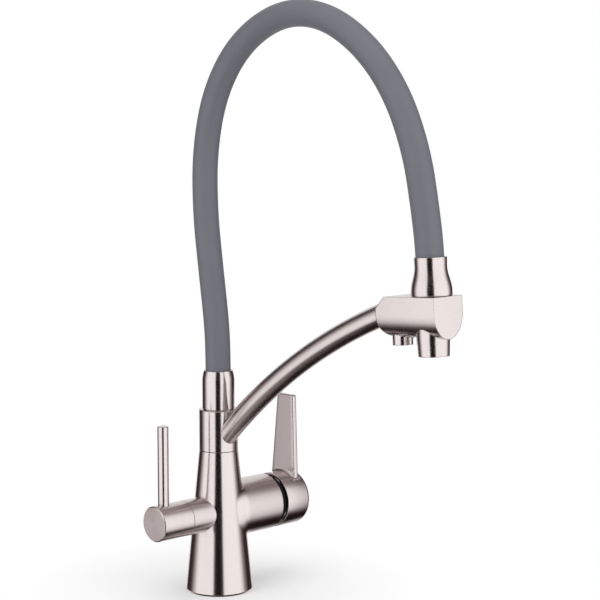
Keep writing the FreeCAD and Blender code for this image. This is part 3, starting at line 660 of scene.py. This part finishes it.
def turned_mesh(outline, place, sides=LATHE_SIDES):
    """Sweeps a closed outline round the Z axis of a place, given as a matrix in metres."""
    work = bmesh.new()
    rings = []
    for radius, height in rounded(outline):
        ring = []
        for k in range(sides):
            angle = 2 * math.pi * k / sides
            local = Vector((radius * math.cos(angle), radius * math.sin(angle), height)) * MM
            ring.append(work.verts.new(place @ local))
        rings.append(ring)
    bridge(work, rings + rings[:1])
    bmesh.ops.dissolve_degenerate(work, edges=work.edges, dist=SHORTEST_EDGE)
    return work


def fit(piece, body, slot, *replaced):
    """Gives a piece its body and hides the solids that it stands for. The slot is not used."""
    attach(piece, body)
    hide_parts(*replaced)
    print(piece.name + ":", len(piece.data.polygons), "faces")


upright = Matrix.Identity(4)
branch = Matrix.Translation(BRANCH_MIDDLE) @ Matrix.Rotation(math.pi / 2, 4, "Y")
head = Matrix.Translation((0, -REACH, HEAD_HEIGHT)) @ Matrix.Rotation(-HEAD_TILT, 4, "X")
print("lathe places:", len((upright, branch, head)))

# %% [markdown]
# ## The lower ferrule
#
# The hose stands in a plain sleeve on the collar. A narrow groove at its foot is where the two
# pieces meet, and the sleeve closes over the hose in a round shoulder. The shoulder is a piece of a
# parabola: it leaves the side with no corner and gets steeper towards the mouth.

# %% Lower ferrule
SLEEVE_RADIUS = 13.1
SLEEVE_TOP = 180.2
SHOULDER = 9.2
MOUTH_RADIUS = 11.6
GROOVE_RADIUS = 12.6
GROOVE_TOP = 0.45
SLEEVE_START = 0.7
SHOULDER_STEPS = 12
HOSE_HOLE = 10.2
collar_top = COLLAR_TOP / MM
hose_floor = collar_top + FERRULE_FLOOR / MM

sleeve = [
    (0, collar_top, 0),
    (GROOVE_RADIUS, collar_top, 0),
    (GROOVE_RADIUS, collar_top + GROOVE_TOP, 0),
    (SLEEVE_RADIUS, collar_top + SLEEVE_START, 0.2),
]
for step in range(SHOULDER_STEPS):
    share = step / SHOULDER_STEPS
    radius = SLEEVE_RADIUS - (SLEEVE_RADIUS - MOUTH_RADIUS) * share ** 2
    sleeve.append((radius, SLEEVE_TOP - SHOULDER * (1 - share), 0))
sleeve += [
    (MOUTH_RADIUS, SLEEVE_TOP, 0.35),
    (HOSE_HOLE, SLEEVE_TOP, 0.3),
    (HOSE_HOLE, hose_floor, 0),
    (0, hose_floor, 0),
]
fit(
    mesh_object("lower_ferrule_sleeve", turned_mesh(sleeve, upright), upright_nickel),
    "spout", "brushed_nickel", "lower_hose_ferrule",
)

# %% [markdown]
# ## The bell
#
# The upper ferrule is a small bell. Its side is an S: straight above its foot, then drawn in, then
# straight again round the hose. Half a cosine wave has just that shape, level at both ends.

# %% Bell
BELL_HEIGHT = 27.5
BELL_NECK = 11.6
BELL_LIP = 11.75
BELL_FLARE = 14.7
BELL_FLARE_HEIGHT = 3.5
BELL_NECK_HEIGHT = 21.0
BELL_STEPS = 20

bell = [(0, 0, 0), (BELL_FLARE, 0, 1.0)]
for step in range(BELL_STEPS + 1):
    share = step / BELL_STEPS
    radius = BELL_NECK + (BELL_FLARE - BELL_NECK) * (1 + math.cos(math.pi * share)) / 2
    bell.append((radius, BELL_FLARE_HEIGHT + (BELL_NECK_HEIGHT - BELL_FLARE_HEIGHT) * share, 0))
bell += [
    (BELL_LIP, BELL_HEIGHT, 0.4),
    (HOSE_HOLE, BELL_HEIGHT, 0.4),
    (HOSE_HOLE, FERRULE_FLOOR / MM, 0),
    (0, FERRULE_FLOOR / MM, 0),
]
fit(
    mesh_object("bell", turned_mesh(bell, head), head_nickel),
    "spout", "brushed_nickel", "hose_bell",
)

# %% [markdown]
# ## The rod lever
#
# A plain pin, turned and parted off, with its top edge rounded so that it is kind to a finger.

# %% Rod lever
ROD_RADIUS = 4.4
ROD_FOOT = BRANCH_HEIGHT + 6.2
ROD_TOP = BRANCH_HEIGHT + 77.2

rod_place = Matrix.Translation(ROD_MIDDLE)
rod = [(0, ROD_FOOT, 0), (ROD_RADIUS, ROD_FOOT, 0.3), (ROD_RADIUS, ROD_TOP, 0.9), (0, ROD_TOP, 0)]
fit(
    mesh_object("rod_lever", turned_mesh(rod, rod_place, SMALL_PIECE_SIDES), rod_nickel),
    "filter_lever", "brushed_nickel", "filter_rod",
)

# %% [markdown]
# ## The root of the cartridge housing
#
# The housing grows out of the cone with a soft, hollow curve, as one casting does. In the solid
# model the two simply cross. A Bevel modifier could soften that crossing, but it runs along a curve
# in space where the angle between the two surfaces changes all the way round, and bevels fold up
# there.
#
# Instead, each surface gets a distance: how far a point lies outside the cone, and outside the
# housing. The smaller of the two is the crossed shape. Where both are nearly the same, a little is
# taken off, and the crossing fills up with a smooth curve. The mesh starts as two strips, one on
# each side of the crossing, and each of its points moves outward until it lies on that smooth
# surface.

# %% Distances to the two surfaces
HOUSING_RADIUS = 22.8
HOUSING_ROOT_RADIUS = 19.8
HOUSING_ROOT = 2.0
HOUSING_FLARE = 12.0
HOUSING_END = 50.3
CROSSING_FILL = 3.2
cone_lean = math.atan(CONE_NARROWING)


def housing_radius(x):
    """The housing narrows softly towards its root."""
    share = min(1.0, max(0.0, (x - HOUSING_ROOT) / HOUSING_FLARE))
    widening = (HOUSING_RADIUS - HOUSING_ROOT_RADIUS) * (2 * share - share * share)
    return HOUSING_ROOT_RADIUS + widening


def outside_cone(point):
    """How far a point lies outside the cone."""
    radius = CONE_FOOT_RADIUS - CONE_NARROWING * point.z
    return (math.hypot(point.x, point.y) - radius) * math.cos(cone_lean)


def outside_housing(point):
    """How far a point lies outside the housing."""
    return math.hypot(point.y, point.z - BRANCH_HEIGHT) - housing_radius(point.x)


def outside_both(point):
    """The smaller distance, less a little where the two are nearly the same."""
    first, second = outside_cone(point), outside_housing(point)
    near = max(0.0, CROSSING_FILL - abs(first - second)) / CROSSING_FILL
    return min(first, second) - near * near * CROSSING_FILL / 4


above = Vector((30, 0, BRANCH_HEIGHT + HOUSING_RADIUS + 2))
print("2 mm above the housing the distance reads", round(outside_both(above), 2), "mm")

# %% [markdown]
# Two tools find points on such a surface. The direction in which a distance grows fastest is the
# surface's normal, and halving an interval again and again closes in on a crossing.

# %% Finding the surface
SLOPE_STEP = 0.01
HALVINGS = 30


def slope_of(distance, point):
    """The direction in which a distance grows fastest: the surface's normal."""
    return Vector([
        distance(point + SLOPE_STEP * axis) - distance(point - SLOPE_STEP * axis)
        for axis in (Vector((1, 0, 0)), Vector((0, 1, 0)), Vector((0, 0, 1)))
    ]).normalized()


def on_housing(x, turned):
    """The housing's point at a distance along its axis, turned round it from the top."""
    radius = housing_radius(x)
    return Vector((x, radius * math.sin(turned), BRANCH_HEIGHT + radius * math.cos(turned)))


def halved(low, high, value):
    """Halves an interval until it closes on the place where a rising value passes zero."""
    for _ in range(HALVINGS):
        middle = (low + high) / 2
        if value(middle) > 0:
            high = middle
        else:
            low = middle
    return (low + high) / 2


print("the square root of 2, by halving:", round(halved(1.0, 2.0, lambda x: x * x - 2), 6))

# %% [markdown]
# Each row of the skin starts at a point of the crossing. It walks a few steps over the cone, away
# from the housing, and a few steps out along the housing, and then on to the housing's end. Where
# the two surfaces meet at a shallow angle the fill is wider, so there the steps are longer.

# %% Skin rows
SKIN_SIDES = 120
SKIN_STEPS = 10
SKIN_REACH = 1.05
STEPS_TO_END = 8
CROSSING_BETWEEN = (-5.0, 35.0)

turns = [2 * math.pi * k / SKIN_SIDES for k in range(SKIN_SIDES)]
crossing = [
    on_housing(halved(*CROSSING_BETWEEN, lambda x: outside_cone(on_housing(x, turned))), turned)
    for turned in turns
]
rows = []
for k, start in enumerate(crossing):
    along = (crossing[(k + 1) % SKIN_SIDES] - crossing[k - 1]).normalized()
    cone_normal = slope_of(outside_cone, start)
    housing_normal = slope_of(outside_housing, start)
    outward = (cone_normal + housing_normal).normalized()
    width = CROSSING_FILL / math.sin(cone_normal.angle(housing_normal))
    step = SKIN_REACH * width / SKIN_STEPS
    row = []
    point = start.copy()
    for _ in range(SKIN_STEPS):
        ahead = slope_of(outside_cone, point).cross(along).normalized()
        ahead *= 1 if ahead.dot(housing_normal) > 0 else -1
        point = point + step * ahead
        point -= outside_cone(point) * slope_of(outside_cone, point)
        row.insert(0, point)
    row.append(start)
    for count in range(1, SKIN_STEPS + 1):
        row.append(on_housing(start.x + step * count, turns[k]))
    ways = [
        halved(0.0, CROSSING_FILL, lambda way: outside_both(point + way * outward))
        for point in row
    ]
    row = [point + outward * way for point, way in zip(row, ways)]
    last = start.x + step * SKIN_STEPS
    for count in range(1, STEPS_TO_END + 1):
        row.append(on_housing(last + (HOUSING_END - last) * count / STEPS_TO_END, turns[k]))
    rows.append(row)
print("skin:", len(rows), "rows of", len(rows[0]), "points")

# %% [markdown]
# The skin stands a hundredth of a millimetre proud of both surfaces. Its rim on the cone dips half
# a millimetre under, below the cone's flat facets, so that no dark gap shows there. Each of its
# points takes its shading normal from the smooth surface itself, so the brushed cone runs on over
# the rim.

# %% Skin
SKIN_PROUD = 0.012
RIM_DIP = 0.5
SKIN_SMOOTH_BELOW = 60.0

skin = bmesh.new()
strips = []
normals = []
for row in rows:
    strip = []
    for i, point in enumerate(row):
        lift = SKIN_PROUD if i > 0 else SKIN_PROUD - RIM_DIP
        normals.append(slope_of(outside_both, point))
        strip.append(skin.verts.new((point + lift * normals[-1]) * MM))
    strips.append(strip)
for k in range(SKIN_SIDES):
    for low, high in zip(zip(strips[k - 1], strips[k]), zip(strips[k - 1][1:], strips[k][1:])):
        skin.faces.new((low[0], low[1], high[1], high[0]))
housing_skin = mesh_object("housing_root", skin, body_nickel, SKIN_SMOOTH_BELOW)
housing_skin.data.normals_split_custom_set_from_vertices(normals)
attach(housing_skin, "tap_body")
print("housing root:", len(housing_skin.data.polygons), "faces")

# %% [markdown]
# ## The mixer handle's cap
#
# The cap is a short drum, open towards the body, with a soft edge on its far side.

# %% Cap
CAP_START = 56.6
CAP_CAVITY_END = 69.6
CAP_END = 81.6
CAP_RADIUS = 22.6
CAP_INNER_RADIUS = 20.8
CAP_EDGE = 3.2

cap_outline = [
    (0, CAP_CAVITY_END, 0),
    (CAP_INNER_RADIUS, CAP_CAVITY_END, 0.5),
    (CAP_INNER_RADIUS, CAP_START, 0.3),
    (CAP_RADIUS, CAP_START, 0.45),
    (CAP_RADIUS, CAP_END, CAP_EDGE),
    (0, CAP_END, 0),
]
cap = mesh_object("handle_cap", turned_mesh(cap_outline, branch), branch_nickel)
print("cap before its hole:", len(cap.data.polygons), "faces")

# %% [markdown]
# A small hole in the cap's underside takes the screw that holds the handle on its stem. It could be
# left out of the mesh point by point, but a Boolean cuts it as a drill does. Only the result is
# kept.

# %% Screw hole
SCREW_DISTANCE = 73.5
SCREW_HOLE_RADIUS = 2.5
SCREW_HOLE_TOP = 4.0
DRILL_SIDES = 32
DRILL_OVERRUN = 2


def keep_result(piece):
    """Writes the modifiers' result into the mesh and takes the modifiers off."""
    bpy.context.view_layer.update()
    finished = piece.evaluated_get(bpy.context.evaluated_depsgraph_get())
    result = bpy.data.meshes.new_from_object(finished)
    piece.modifiers.clear()
    piece.data = result
    result.set_sharp_from_angle(angle=math.radians(SMOOTH_BELOW))


drill_place = Matrix.Translation((SCREW_DISTANCE * MM, 0, BRANCH_HEIGHT * MM))
drill_outline = [
    (0, -CAP_RADIUS - DRILL_OVERRUN, 0),
    (SCREW_HOLE_RADIUS, -CAP_RADIUS - DRILL_OVERRUN, 0),
    (SCREW_HOLE_RADIUS, -SCREW_HOLE_TOP, 0),
    (0, -SCREW_HOLE_TOP, 0),
]
drill_mesh = turned_mesh(drill_outline, drill_place, DRILL_SIDES)
drill = mesh_object("drill", drill_mesh, branch_nickel)
cut = cap.modifiers.new("screw_hole", "BOOLEAN")
cut.operation = "DIFFERENCE"
cut.solver = "EXACT"
cut.object = drill
keep_result(cap)
bpy.data.objects.remove(drill)
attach(cap, "mixer_lever")
print("cap:", len(cap.data.polygons), "faces")

# %% [markdown]
# ## The mixer handle's blade
#
# The blade is a flat plate that narrows upwards and leans out a little. Its edges are softened, and
# at its foot it swells into the cap with a small hollow curve, because the two are one casting.
#
# It is drawn as a stack of rounded oblongs, one per height. Near the cap, each point moves outward
# by how close it is to the cap's round surface, which makes the hollow curve follow that surface.

# %% Blade outlines
BLADE_LENGTH = 70.4
BLADE_FOOT_HALF = 14.3
BLADE_TOP_HALF = 9.4
BLADE_CORNER = 2.2
FOOT_CURVE = 1.8
CORNER_STEPS = 6
SIDE_STEPS = 10


def blade_half_width(rise):
    """Half the blade's width at a height above its foot, with its two top corners rounded."""
    plain = BLADE_FOOT_HALF + (BLADE_TOP_HALF - BLADE_FOOT_HALF) * rise / BLADE_LENGTH
    below_top = BLADE_LENGTH - rise
    if below_top >= BLADE_CORNER:
        return plain
    return plain - BLADE_CORNER + math.sqrt(BLADE_CORNER ** 2 - (BLADE_CORNER - below_top) ** 2)


def oblong(half_thickness, half_width, edge):
    """Points round an oblong with rounded corners, as (thickness, width)."""
    arcs = []
    for quarter, (across, along) in enumerate(((1, 1), (-1, 1), (-1, -1), (1, -1))):
        middle = Vector((across * (half_thickness - edge), along * (half_width - edge)))
        angles = [math.pi / 2 * (quarter + step / CORNER_STEPS) for step in range(CORNER_STEPS + 1)]
        spokes = [Vector((math.cos(angle), math.sin(angle))) for angle in angles]
        arcs.append([middle + edge * spoke for spoke in spokes])
    points = []
    for arc, following in zip(arcs, arcs[1:] + arcs[:1]):
        points += arc
        points += [arc[-1].lerp(following[0], step / SIDE_STEPS) for step in range(1, SIDE_STEPS)]
    return points


def foot_swelling(above_cap):
    """How far the hollow curve stands out at a height above the cap's surface."""
    if above_cap >= FOOT_CURVE:
        return 0.0
    near = min(FOOT_CURVE, FOOT_CURVE - above_cap)
    return FOOT_CURVE - math.sqrt(FOOT_CURVE ** 2 - near ** 2)


print("blade:", 2 * blade_half_width(0), "mm wide at its foot,", BLADE_LENGTH, "mm long")

# %% [markdown]
# The rings lie close together at the foot, where the hollow curve is, and again at the top, where
# the two corners and the edge round off.

# %% Blade
BLADE_START = 70.7
BLADE_THICKNESS = 4.8
BLADE_LEAN = math.radians(2.0)
BLADE_FOOT = 17.2
BLADE_EDGE = 1.5
FOOT_STEP = 0.25
FOOT_RINGS = 44
SIDE_STEP = 2.5
SIDE_RINGS = 23
TOP_STEPS = 8
CORNER_SHRINK = 0.9

rises = [FOOT_STEP * step for step in range(FOOT_RINGS)]
rises += [FOOT_STEP * FOOT_RINGS + SIDE_STEP * step for step in range(SIDE_RINGS)]
for step in range(TOP_STEPS + 1):
    turned = math.pi / 2 * step / TOP_STEPS
    rises.append(BLADE_LENGTH - BLADE_CORNER + BLADE_CORNER * math.sin(turned))

work = bmesh.new()
blade_rings = []
for rise in rises:
    below_top = BLADE_LENGTH - rise
    tuck = BLADE_EDGE - math.sqrt(max(0.0, BLADE_EDGE ** 2 - max(0.0, BLADE_EDGE - below_top) ** 2))
    half_thickness = BLADE_THICKNESS / 2 - tuck
    half_width = blade_half_width(rise)
    ring = []
    for across, along in oblong(half_thickness, half_width, BLADE_EDGE - CORNER_SHRINK * tuck):
        surface = math.sqrt(max(0.0, CAP_RADIUS ** 2 - along ** 2))
        swelling = foot_swelling(BLADE_FOOT + rise - surface)
        at_edge = abs(along) > half_width - BLADE_EDGE
        across += math.copysign(swelling, across)
        along += math.copysign(swelling, along) if at_edge else 0.0
        ring.append(work.verts.new(Vector((
            BLADE_START + BLADE_THICKNESS / 2 + across + rise * math.sin(BLADE_LEAN),
            along,
            BRANCH_HEIGHT + BLADE_FOOT + rise * math.cos(BLADE_LEAN),
        )) * MM))
    blade_rings.append(ring)
bridge(work, blade_rings)
work.faces.new(blade_rings[0])
work.faces.new(blade_rings[-1])
blade = mesh_object("handle_blade", work, blade_nickel)
fit(blade, "mixer_lever", "brushed_nickel", "mixer_handle")

# %% [markdown]
# ## The outlets' inserts
#
# The large outlet holds an aerator, a small honeycomb that mixes air into the water. The filter
# outlet holds a straightener with fewer, wider cells. Both are moulded, and are seen from below
# only.
#
# A honeycomb could be cut out of a disc with Booleans, one per cell. Here each cell's wall is a
# thin six-sided ring, and rings that touch make the comb.

# %% Honeycomb
CELL_WALL = 0.35
RIM_WIDTH = 1.2
CELL_SETBACK = 0.5
CELL_SHARE_INSIDE = 0.4


def honeycomb(place, radius, bottom, depth, cell):
    """A rim with six-sided cells inside it. The cells stand a little back from the rim's face."""
    inside = radius - RIM_WIDTH
    top = bottom + depth
    rim = [(inside, bottom, 0.2), (radius, bottom, 0.2), (radius, top, 0), (inside, top, 0)]
    work = turned_mesh(rim, place, SMALL_PIECE_SIDES)
    row_height = cell * 1.5
    column_width = cell * math.sqrt(3)
    reach = int(radius / row_height) + 1
    for row in range(-reach, reach + 1):
        for column in range(-reach, reach + 1):
            centre = Vector(((column + row % 2 / 2) * column_width, row * row_height, 0))
            if centre.length > inside - CELL_SHARE_INSIDE * cell:
                continue
            rings = []
            for size, height in (
                (cell, bottom + CELL_SETBACK),
                (cell - CELL_WALL, bottom + CELL_SETBACK),
                (cell - CELL_WALL, top),
                (cell, top),
            ):
                ring = []
                for k in range(6):
                    angle = math.radians(30 + 60 * k)
                    local = centre + size * Vector((math.cos(angle), math.sin(angle), 0))
                    local.z = height
                    ring.append(work.verts.new(place @ (local * MM)))
                rings.append(ring)
            bridge(work, rings + rings[:1])
    return work


print("honeycomb walls:", CELL_WALL, "mm")

# %% [markdown]
# Both inserts lie a little inside their outlets, in the head's own tilted place.

# %% Outlets' inserts
AERATOR_RADIUS = 9.2
AERATOR_DEPTH = 7.4
AERATOR_CELL = 1.35
OUTLET_BOTTOM = -42.3
STRAIGHTENER_RADIUS = 5.3
STRAIGHTENER_DEPTH = 5.4
STRAIGHTENER_CELL = 1.6
FILTER_OUTLET_BOTTOM = -35.4
FILTER_OUTLET_DISTANCE = 29.3
INSERT_INSET = 0.6

aerator_bottom = OUTLET_BOTTOM + INSERT_INSET
comb = honeycomb(head, AERATOR_RADIUS, aerator_bottom, AERATOR_DEPTH, AERATOR_CELL)
fit(mesh_object("aerator_comb", comb, white_plastic), "spout", "white_plastic", "aerator")

straightener_place = head @ Matrix.Translation((0, FILTER_OUTLET_DISTANCE * MM, 0))
straightener_bottom = FILTER_OUTLET_BOTTOM + INSERT_INSET
comb = honeycomb(
    straightener_place,
    STRAIGHTENER_RADIUS, straightener_bottom, STRAIGHTENER_DEPTH, STRAIGHTENER_CELL,
)
fit(
    mesh_object("straightener_comb", comb, white_plastic),
    "spout", "white_plastic", "flow_straightener",
)

# %% [markdown]
# ## The floor
#
# The floor is a plain pale sheet. Close to the mixer it is mostly an ordinary matt surface, which
# takes a soft shadow, and a share of white glow is mixed in there too: painted light, which makes
# the shadow paler. Further off it glows pure white, so that it meets the white background with no
# line.

# %% Floor
FLOOR_SIZE = 12.0
FLOOR_SINK = 0.05 * MM
FLOOR_COLOUR = (0.93, 0.93, 0.93, 1.0)
FLOOR_ROUGHNESS = 0.9
FLOOR_GLOSS = 0.1
WHITE = (1.0, 1.0, 1.0, 1.0)
FADE_START = 0.03
FADE_END = 0.16
# The share of white glow mixed into the floor near the mixer: painted light, which makes its shadow
# paler.
FLOOR_GLOW = 0.3

floor_mesh = bpy.data.meshes.new("floor")
half = FLOOR_SIZE / 2
corners = [(-half, -half, 0), (half, -half, 0), (half, half, 0), (-half, half, 0)]
floor_mesh.from_pydata(corners, [], [(0, 1, 2, 3)])
floor_material, floor_tree, floor_shader = new_material("pale_floor")
floor_shader.inputs["Base Color"].default_value = FLOOR_COLOUR
floor_shader.inputs["Roughness"].default_value = FLOOR_ROUGHNESS
floor_shader.inputs["Specular IOR Level"].default_value = FLOOR_GLOSS


def background_rays(tree):
    """1 for the rays that should find a plain white background."""
    rays = tree.nodes.new("ShaderNodeLightPath")
    glossy, through = (rays, "Is Glossy Ray"), (rays, "Is Transmission Ray")
    reflected = number_math(tree, "MAXIMUM", glossy, through)
    return number_math(tree, "MAXIMUM", (rays, "Is Camera Ray"), reflected)


floor_place = (floor_tree.nodes.new("ShaderNodeTexCoord"), "Object")
away = vector_math(floor_tree, "LENGTH", floor_place)
faded = (add_node(
    floor_tree, "ShaderNodeMapRange",
    Value=away, From_Min=FADE_START, From_Max=FADE_END, To_Min=FLOOR_GLOW,
), "Result")
whiteness = number_math(floor_tree, "MULTIPLY", faded, background_rays(floor_tree))
# The white glow that the floor gives off: painted light, full far off and a share of it near the
# mixer.
white_glow = add_node(floor_tree, "ShaderNodeEmission", Color=WHITE, Strength=1.0)
floor_mix = add_node(floor_tree, "ShaderNodeMixShader", Fac=whiteness)
floor_out = [node for node in floor_tree.nodes if node.type == "OUTPUT_MATERIAL"][0]
floor_tree.links.new(floor_shader.outputs["BSDF"], floor_mix.inputs[1])
floor_tree.links.new(white_glow.outputs["Emission"], floor_mix.inputs[2])
floor_tree.links.new(floor_mix.outputs["Shader"], floor_out.inputs["Surface"])
floor_mesh.materials.append(floor_material)
floor = bpy.data.objects.new("floor", floor_mesh)
floor.location.z = -FLOOR_SINK
bpy.context.scene.collection.objects.link(floor)
print("floor:", FLOOR_SIZE, "m")

# %% [markdown]
# ## The air round it
#
# The camera and the reflections find pure white behind the mixer. The light that the world gives to
# matt surfaces is weaker, and the lamps bring it up to a plain level.

# %% World
WORLD_LIGHT = 0.42

world = bpy.data.worlds.new("studio")
world.use_nodes = True
bpy.context.scene.world = world
sky = world.node_tree
sky.nodes.clear()
soft = add_node(sky, "ShaderNodeBackground", Color=WHITE, Strength=WORLD_LIGHT)
white = add_node(sky, "ShaderNodeBackground", Color=WHITE, Strength=1.0)
either = add_node(sky, "ShaderNodeMixShader", Fac=background_rays(sky))
sky_out = sky.nodes.new("ShaderNodeOutputWorld")
sky.links.new(soft.outputs["Background"], either.inputs[1])
sky.links.new(white.outputs["Background"], either.inputs[2])
sky.links.new(either.outputs["Shader"], sky_out.inputs["Surface"])
print("world light:", WORLD_LIGHT)

# %% [markdown]
# ## The studio's walls
#
# Round metal shows the whole room, so a photographer builds the room for it: a large soft box on
# each side, and black cards between them: one behind the camera, and one on each side of the white
# backdrop. The cards draw the dark stripe down the middle of each round piece and the dark lines
# along its sides. The mixer stands on a small raised table, so the walls go on below it and end in
# black. A pale sheet in front of the table fills in what is seen from above.
#
# The cards could be separate boards. Here they are one tall drum of wall, painted with bright and
# dark by bearing and by height, and seen only by reflections. It gives no light to matt surfaces,
# so their colours stay as they are written. The floor, in turn, is left out of the reflections.
#
# Each row of WALL_LEVELS is a bearing and a brightness. A bearing is an angle round the mixer, in
# degrees, from the camera's side to its right. Each row of WALL_FADES is a height in metres, the
# share of that brightness that is left there, and what is added.

# %% Wall levels
WALL_LEVELS = [
    (-180, 1.0),
    (-156, 0.90),
    (-146, 0.05),
    (-128, 0.04),
    (-113, 0.12),
    (-99, 0.60),
    (-88, 1.12),
    (-80, 1.36),
    (-22, 1.34),
    (-18.5, 0.01),
    (13, 0.01),
    (16.5, 1.38),
    (76, 1.42),
    (86, 1.15),
    (100, 0.36),
    (118, 0.04),
    (146, 0.05),
    (156, 0.90),
    (180, 1.0),
]
WALL_FADES = [
    (-1.7, 0.0, 0.018),
    (-0.98, 0.06, 0.012),
    (-0.52, 0.86, 0.0),
    (-0.1, 1.0, 0.0),
    (0.7, 1.0, 0.0),
    (1.1, 0.6, 0.22),
    (1.6, 0.1, 0.42),
]
print("rows of wall levels:", len(WALL_LEVELS), "by bearing,", len(WALL_FADES), "by height")

# %% [markdown]
# The studio is laid out from the camera's place, and it stays there when the mixer is seen from
# another side. Between two rows of the levels the brightness goes evenly from one to the other. The
# pale sheet in front is painted on the lowest part of the wall and on the bottom.

# %% Places and levels
WALL_RADIUS = 1.0
WALL_SIDES = 180
SHEET_LEVEL = 0.5
SHEET_TOP = -0.9
SHEET_HALF_WIDTH = 78
SHEET_FADE = 20

toward_camera = Vector((camera.location.x, camera.location.y, 0)).normalized()
to_the_right = toward_camera.cross(Vector((0, 0, -1)))
bearings = [360 * k / WALL_SIDES - 180 for k in range(WALL_SIDES)]


def at_bearing(bearing, distance, height):
    """A place in the studio, at a bearing from the camera, in degrees, to the right."""
    turned = math.radians(bearing)
    spot = distance * (math.cos(turned) * toward_camera + math.sin(turned) * to_the_right)
    return (spot.x, spot.y, height)


def wall_level(bearing):
    """The wall's full brightness at a bearing, between the two nearest rows."""
    for (start, low), (end, high) in zip(WALL_LEVELS, WALL_LEVELS[1:]):
        if bearing <= end:
            return low + (high - low) * (bearing - start) / (end - start)


def sheet_level(bearing, height):
    """What the pale sheet in front adds, below its top and fading towards its sides."""
    share = min(1.0, max(0.0, (SHEET_HALF_WIDTH - abs(bearing)) / SHEET_FADE))
    return SHEET_LEVEL * share if height < SHEET_TOP else 0.0


print("behind the camera:", wall_level(0), "to its right:", wall_level(45))

# %% [markdown]
# A painted sheet glows, and keeps its brightness in a colour on each of its points. The dark cards
# are a little warm, as black card is under studio light.

# %% Painted sheets
CARD_WARMTH = 0.15


def only_reflected(piece):
    """Leaves a piece of the studio to reflections alone."""
    piece.visible_camera = False
    piece.visible_diffuse = False
    piece.visible_shadow = False
    piece.visible_transmission = False
    piece.visible_volume_scatter = False


def painted(name, work, levels):
    """A glowing sheet with a brightness at each point. The dimmer it is, the warmer."""
    mesh = bpy.data.meshes.new(name)
    work.to_mesh(mesh)
    work.free()
    paint = mesh.color_attributes.new("level", "FLOAT_COLOR", "POINT")
    for corner, level in zip(paint.data, levels):
        cooler = level * min(1.0, level) ** CARD_WARMTH
        corner.color = (level, cooler, cooler, 1.0)
    material = bpy.data.materials.new(name)
    material.use_nodes = True
    tree = material.node_tree
    tree.nodes.clear()
    level = tree.nodes.new("ShaderNodeVertexColor")
    level.layer_name = "level"
    glow = add_node(tree, "ShaderNodeEmission", Color=(level, "Color"), Strength=1.0)
    out = tree.nodes.new("ShaderNodeOutputMaterial")
    tree.links.new(glow.outputs["Emission"], out.inputs["Surface"])
    mesh.materials.append(material)
    piece = bpy.data.objects.new(name, mesh)
    bpy.context.scene.collection.objects.link(piece)
    only_reflected(piece)


print("painted sheets ready")

# %% [markdown]
# The drum's rings are joined as the hose's were. A round sheet closes it at the top and another at
# the bottom.

# %% Reflected walls
CEILING_LEVEL = 0.45
PIT_LEVEL = 0.018


def studio_ring(work, height):
    """A ring of points round the studio."""
    return [work.verts.new(at_bearing(bearing, WALL_RADIUS, height)) for bearing in bearings]


walls = bmesh.new()
levels = []
for height, share, added in WALL_FADES:
    for bearing in bearings:
        levels.append(wall_level(bearing) * share + added + sheet_level(bearing, height))
bridge(walls, [studio_ring(walls, height) for height, _, _ in WALL_FADES])
painted("reflected_walls", walls, levels)

for name, height, level in (
    ("reflected_ceiling", WALL_FADES[-1][0], CEILING_LEVEL),
    ("reflected_pit", WALL_FADES[0][0], PIT_LEVEL),
):
    disc = bmesh.new()
    middle = disc.verts.new((0, 0, height))
    rim = studio_ring(disc, height)
    for k in range(WALL_SIDES):
        disc.faces.new((middle, rim[k - 1], rim[k]))
    painted(name, disc, [level] + [level + sheet_level(bearing, height) for bearing in bearings])
floor.visible_glossy = False
print("reflected walls:", len(levels), "painted points")

# %% [markdown]
# ## The lamps
#
# Two large soft boxes stand where the bright walls are, one on each side, and a third hangs above.
# They light the matt surfaces and give the floor its soft shadow.

# %% Lamps
MIXER_MIDDLE = Vector((0, -0.1, 0.22))


def soft_box(name, bearing, distance, height, width, tall, power):
    """An area lamp at a bearing from the camera, which looks at the mixer's middle."""
    lamp = bpy.data.lights.new(name, "AREA")
    lamp.shape = "RECTANGLE"
    lamp.size = width
    lamp.size_y = tall
    lamp.energy = power
    box = bpy.data.objects.new(name, lamp)
    box.location = at_bearing(bearing, distance, height)
    box.rotation_mode = "QUATERNION"
    box.rotation_quaternion = (MIXER_MIDDLE - box.location).to_track_quat("-Z", "Y")
    box.visible_camera = False
    box.visible_glossy = False
    bpy.context.scene.collection.objects.link(box)
    return box


left_box = soft_box("left_soft_box", -45, 1.6, 0.8, 1.2, 1.6, 8.0)
right_box = soft_box("right_soft_box", 48, 1.6, 0.8, 1.2, 1.6, 8.0)
top_box = soft_box("top_soft_box", -20, 0.4, 1.9, 1.6, 1.6, 15.0)
print("lamps:", left_box.name, right_box.name, top_box.name)

# %% [markdown]
# ## View
#
# The Standard view shows a colour as it is written. A filmic view would look softer, but it would
# grey the white background and change the nickel.

# %% View
bpy.context.scene.view_settings.view_transform = "Standard"
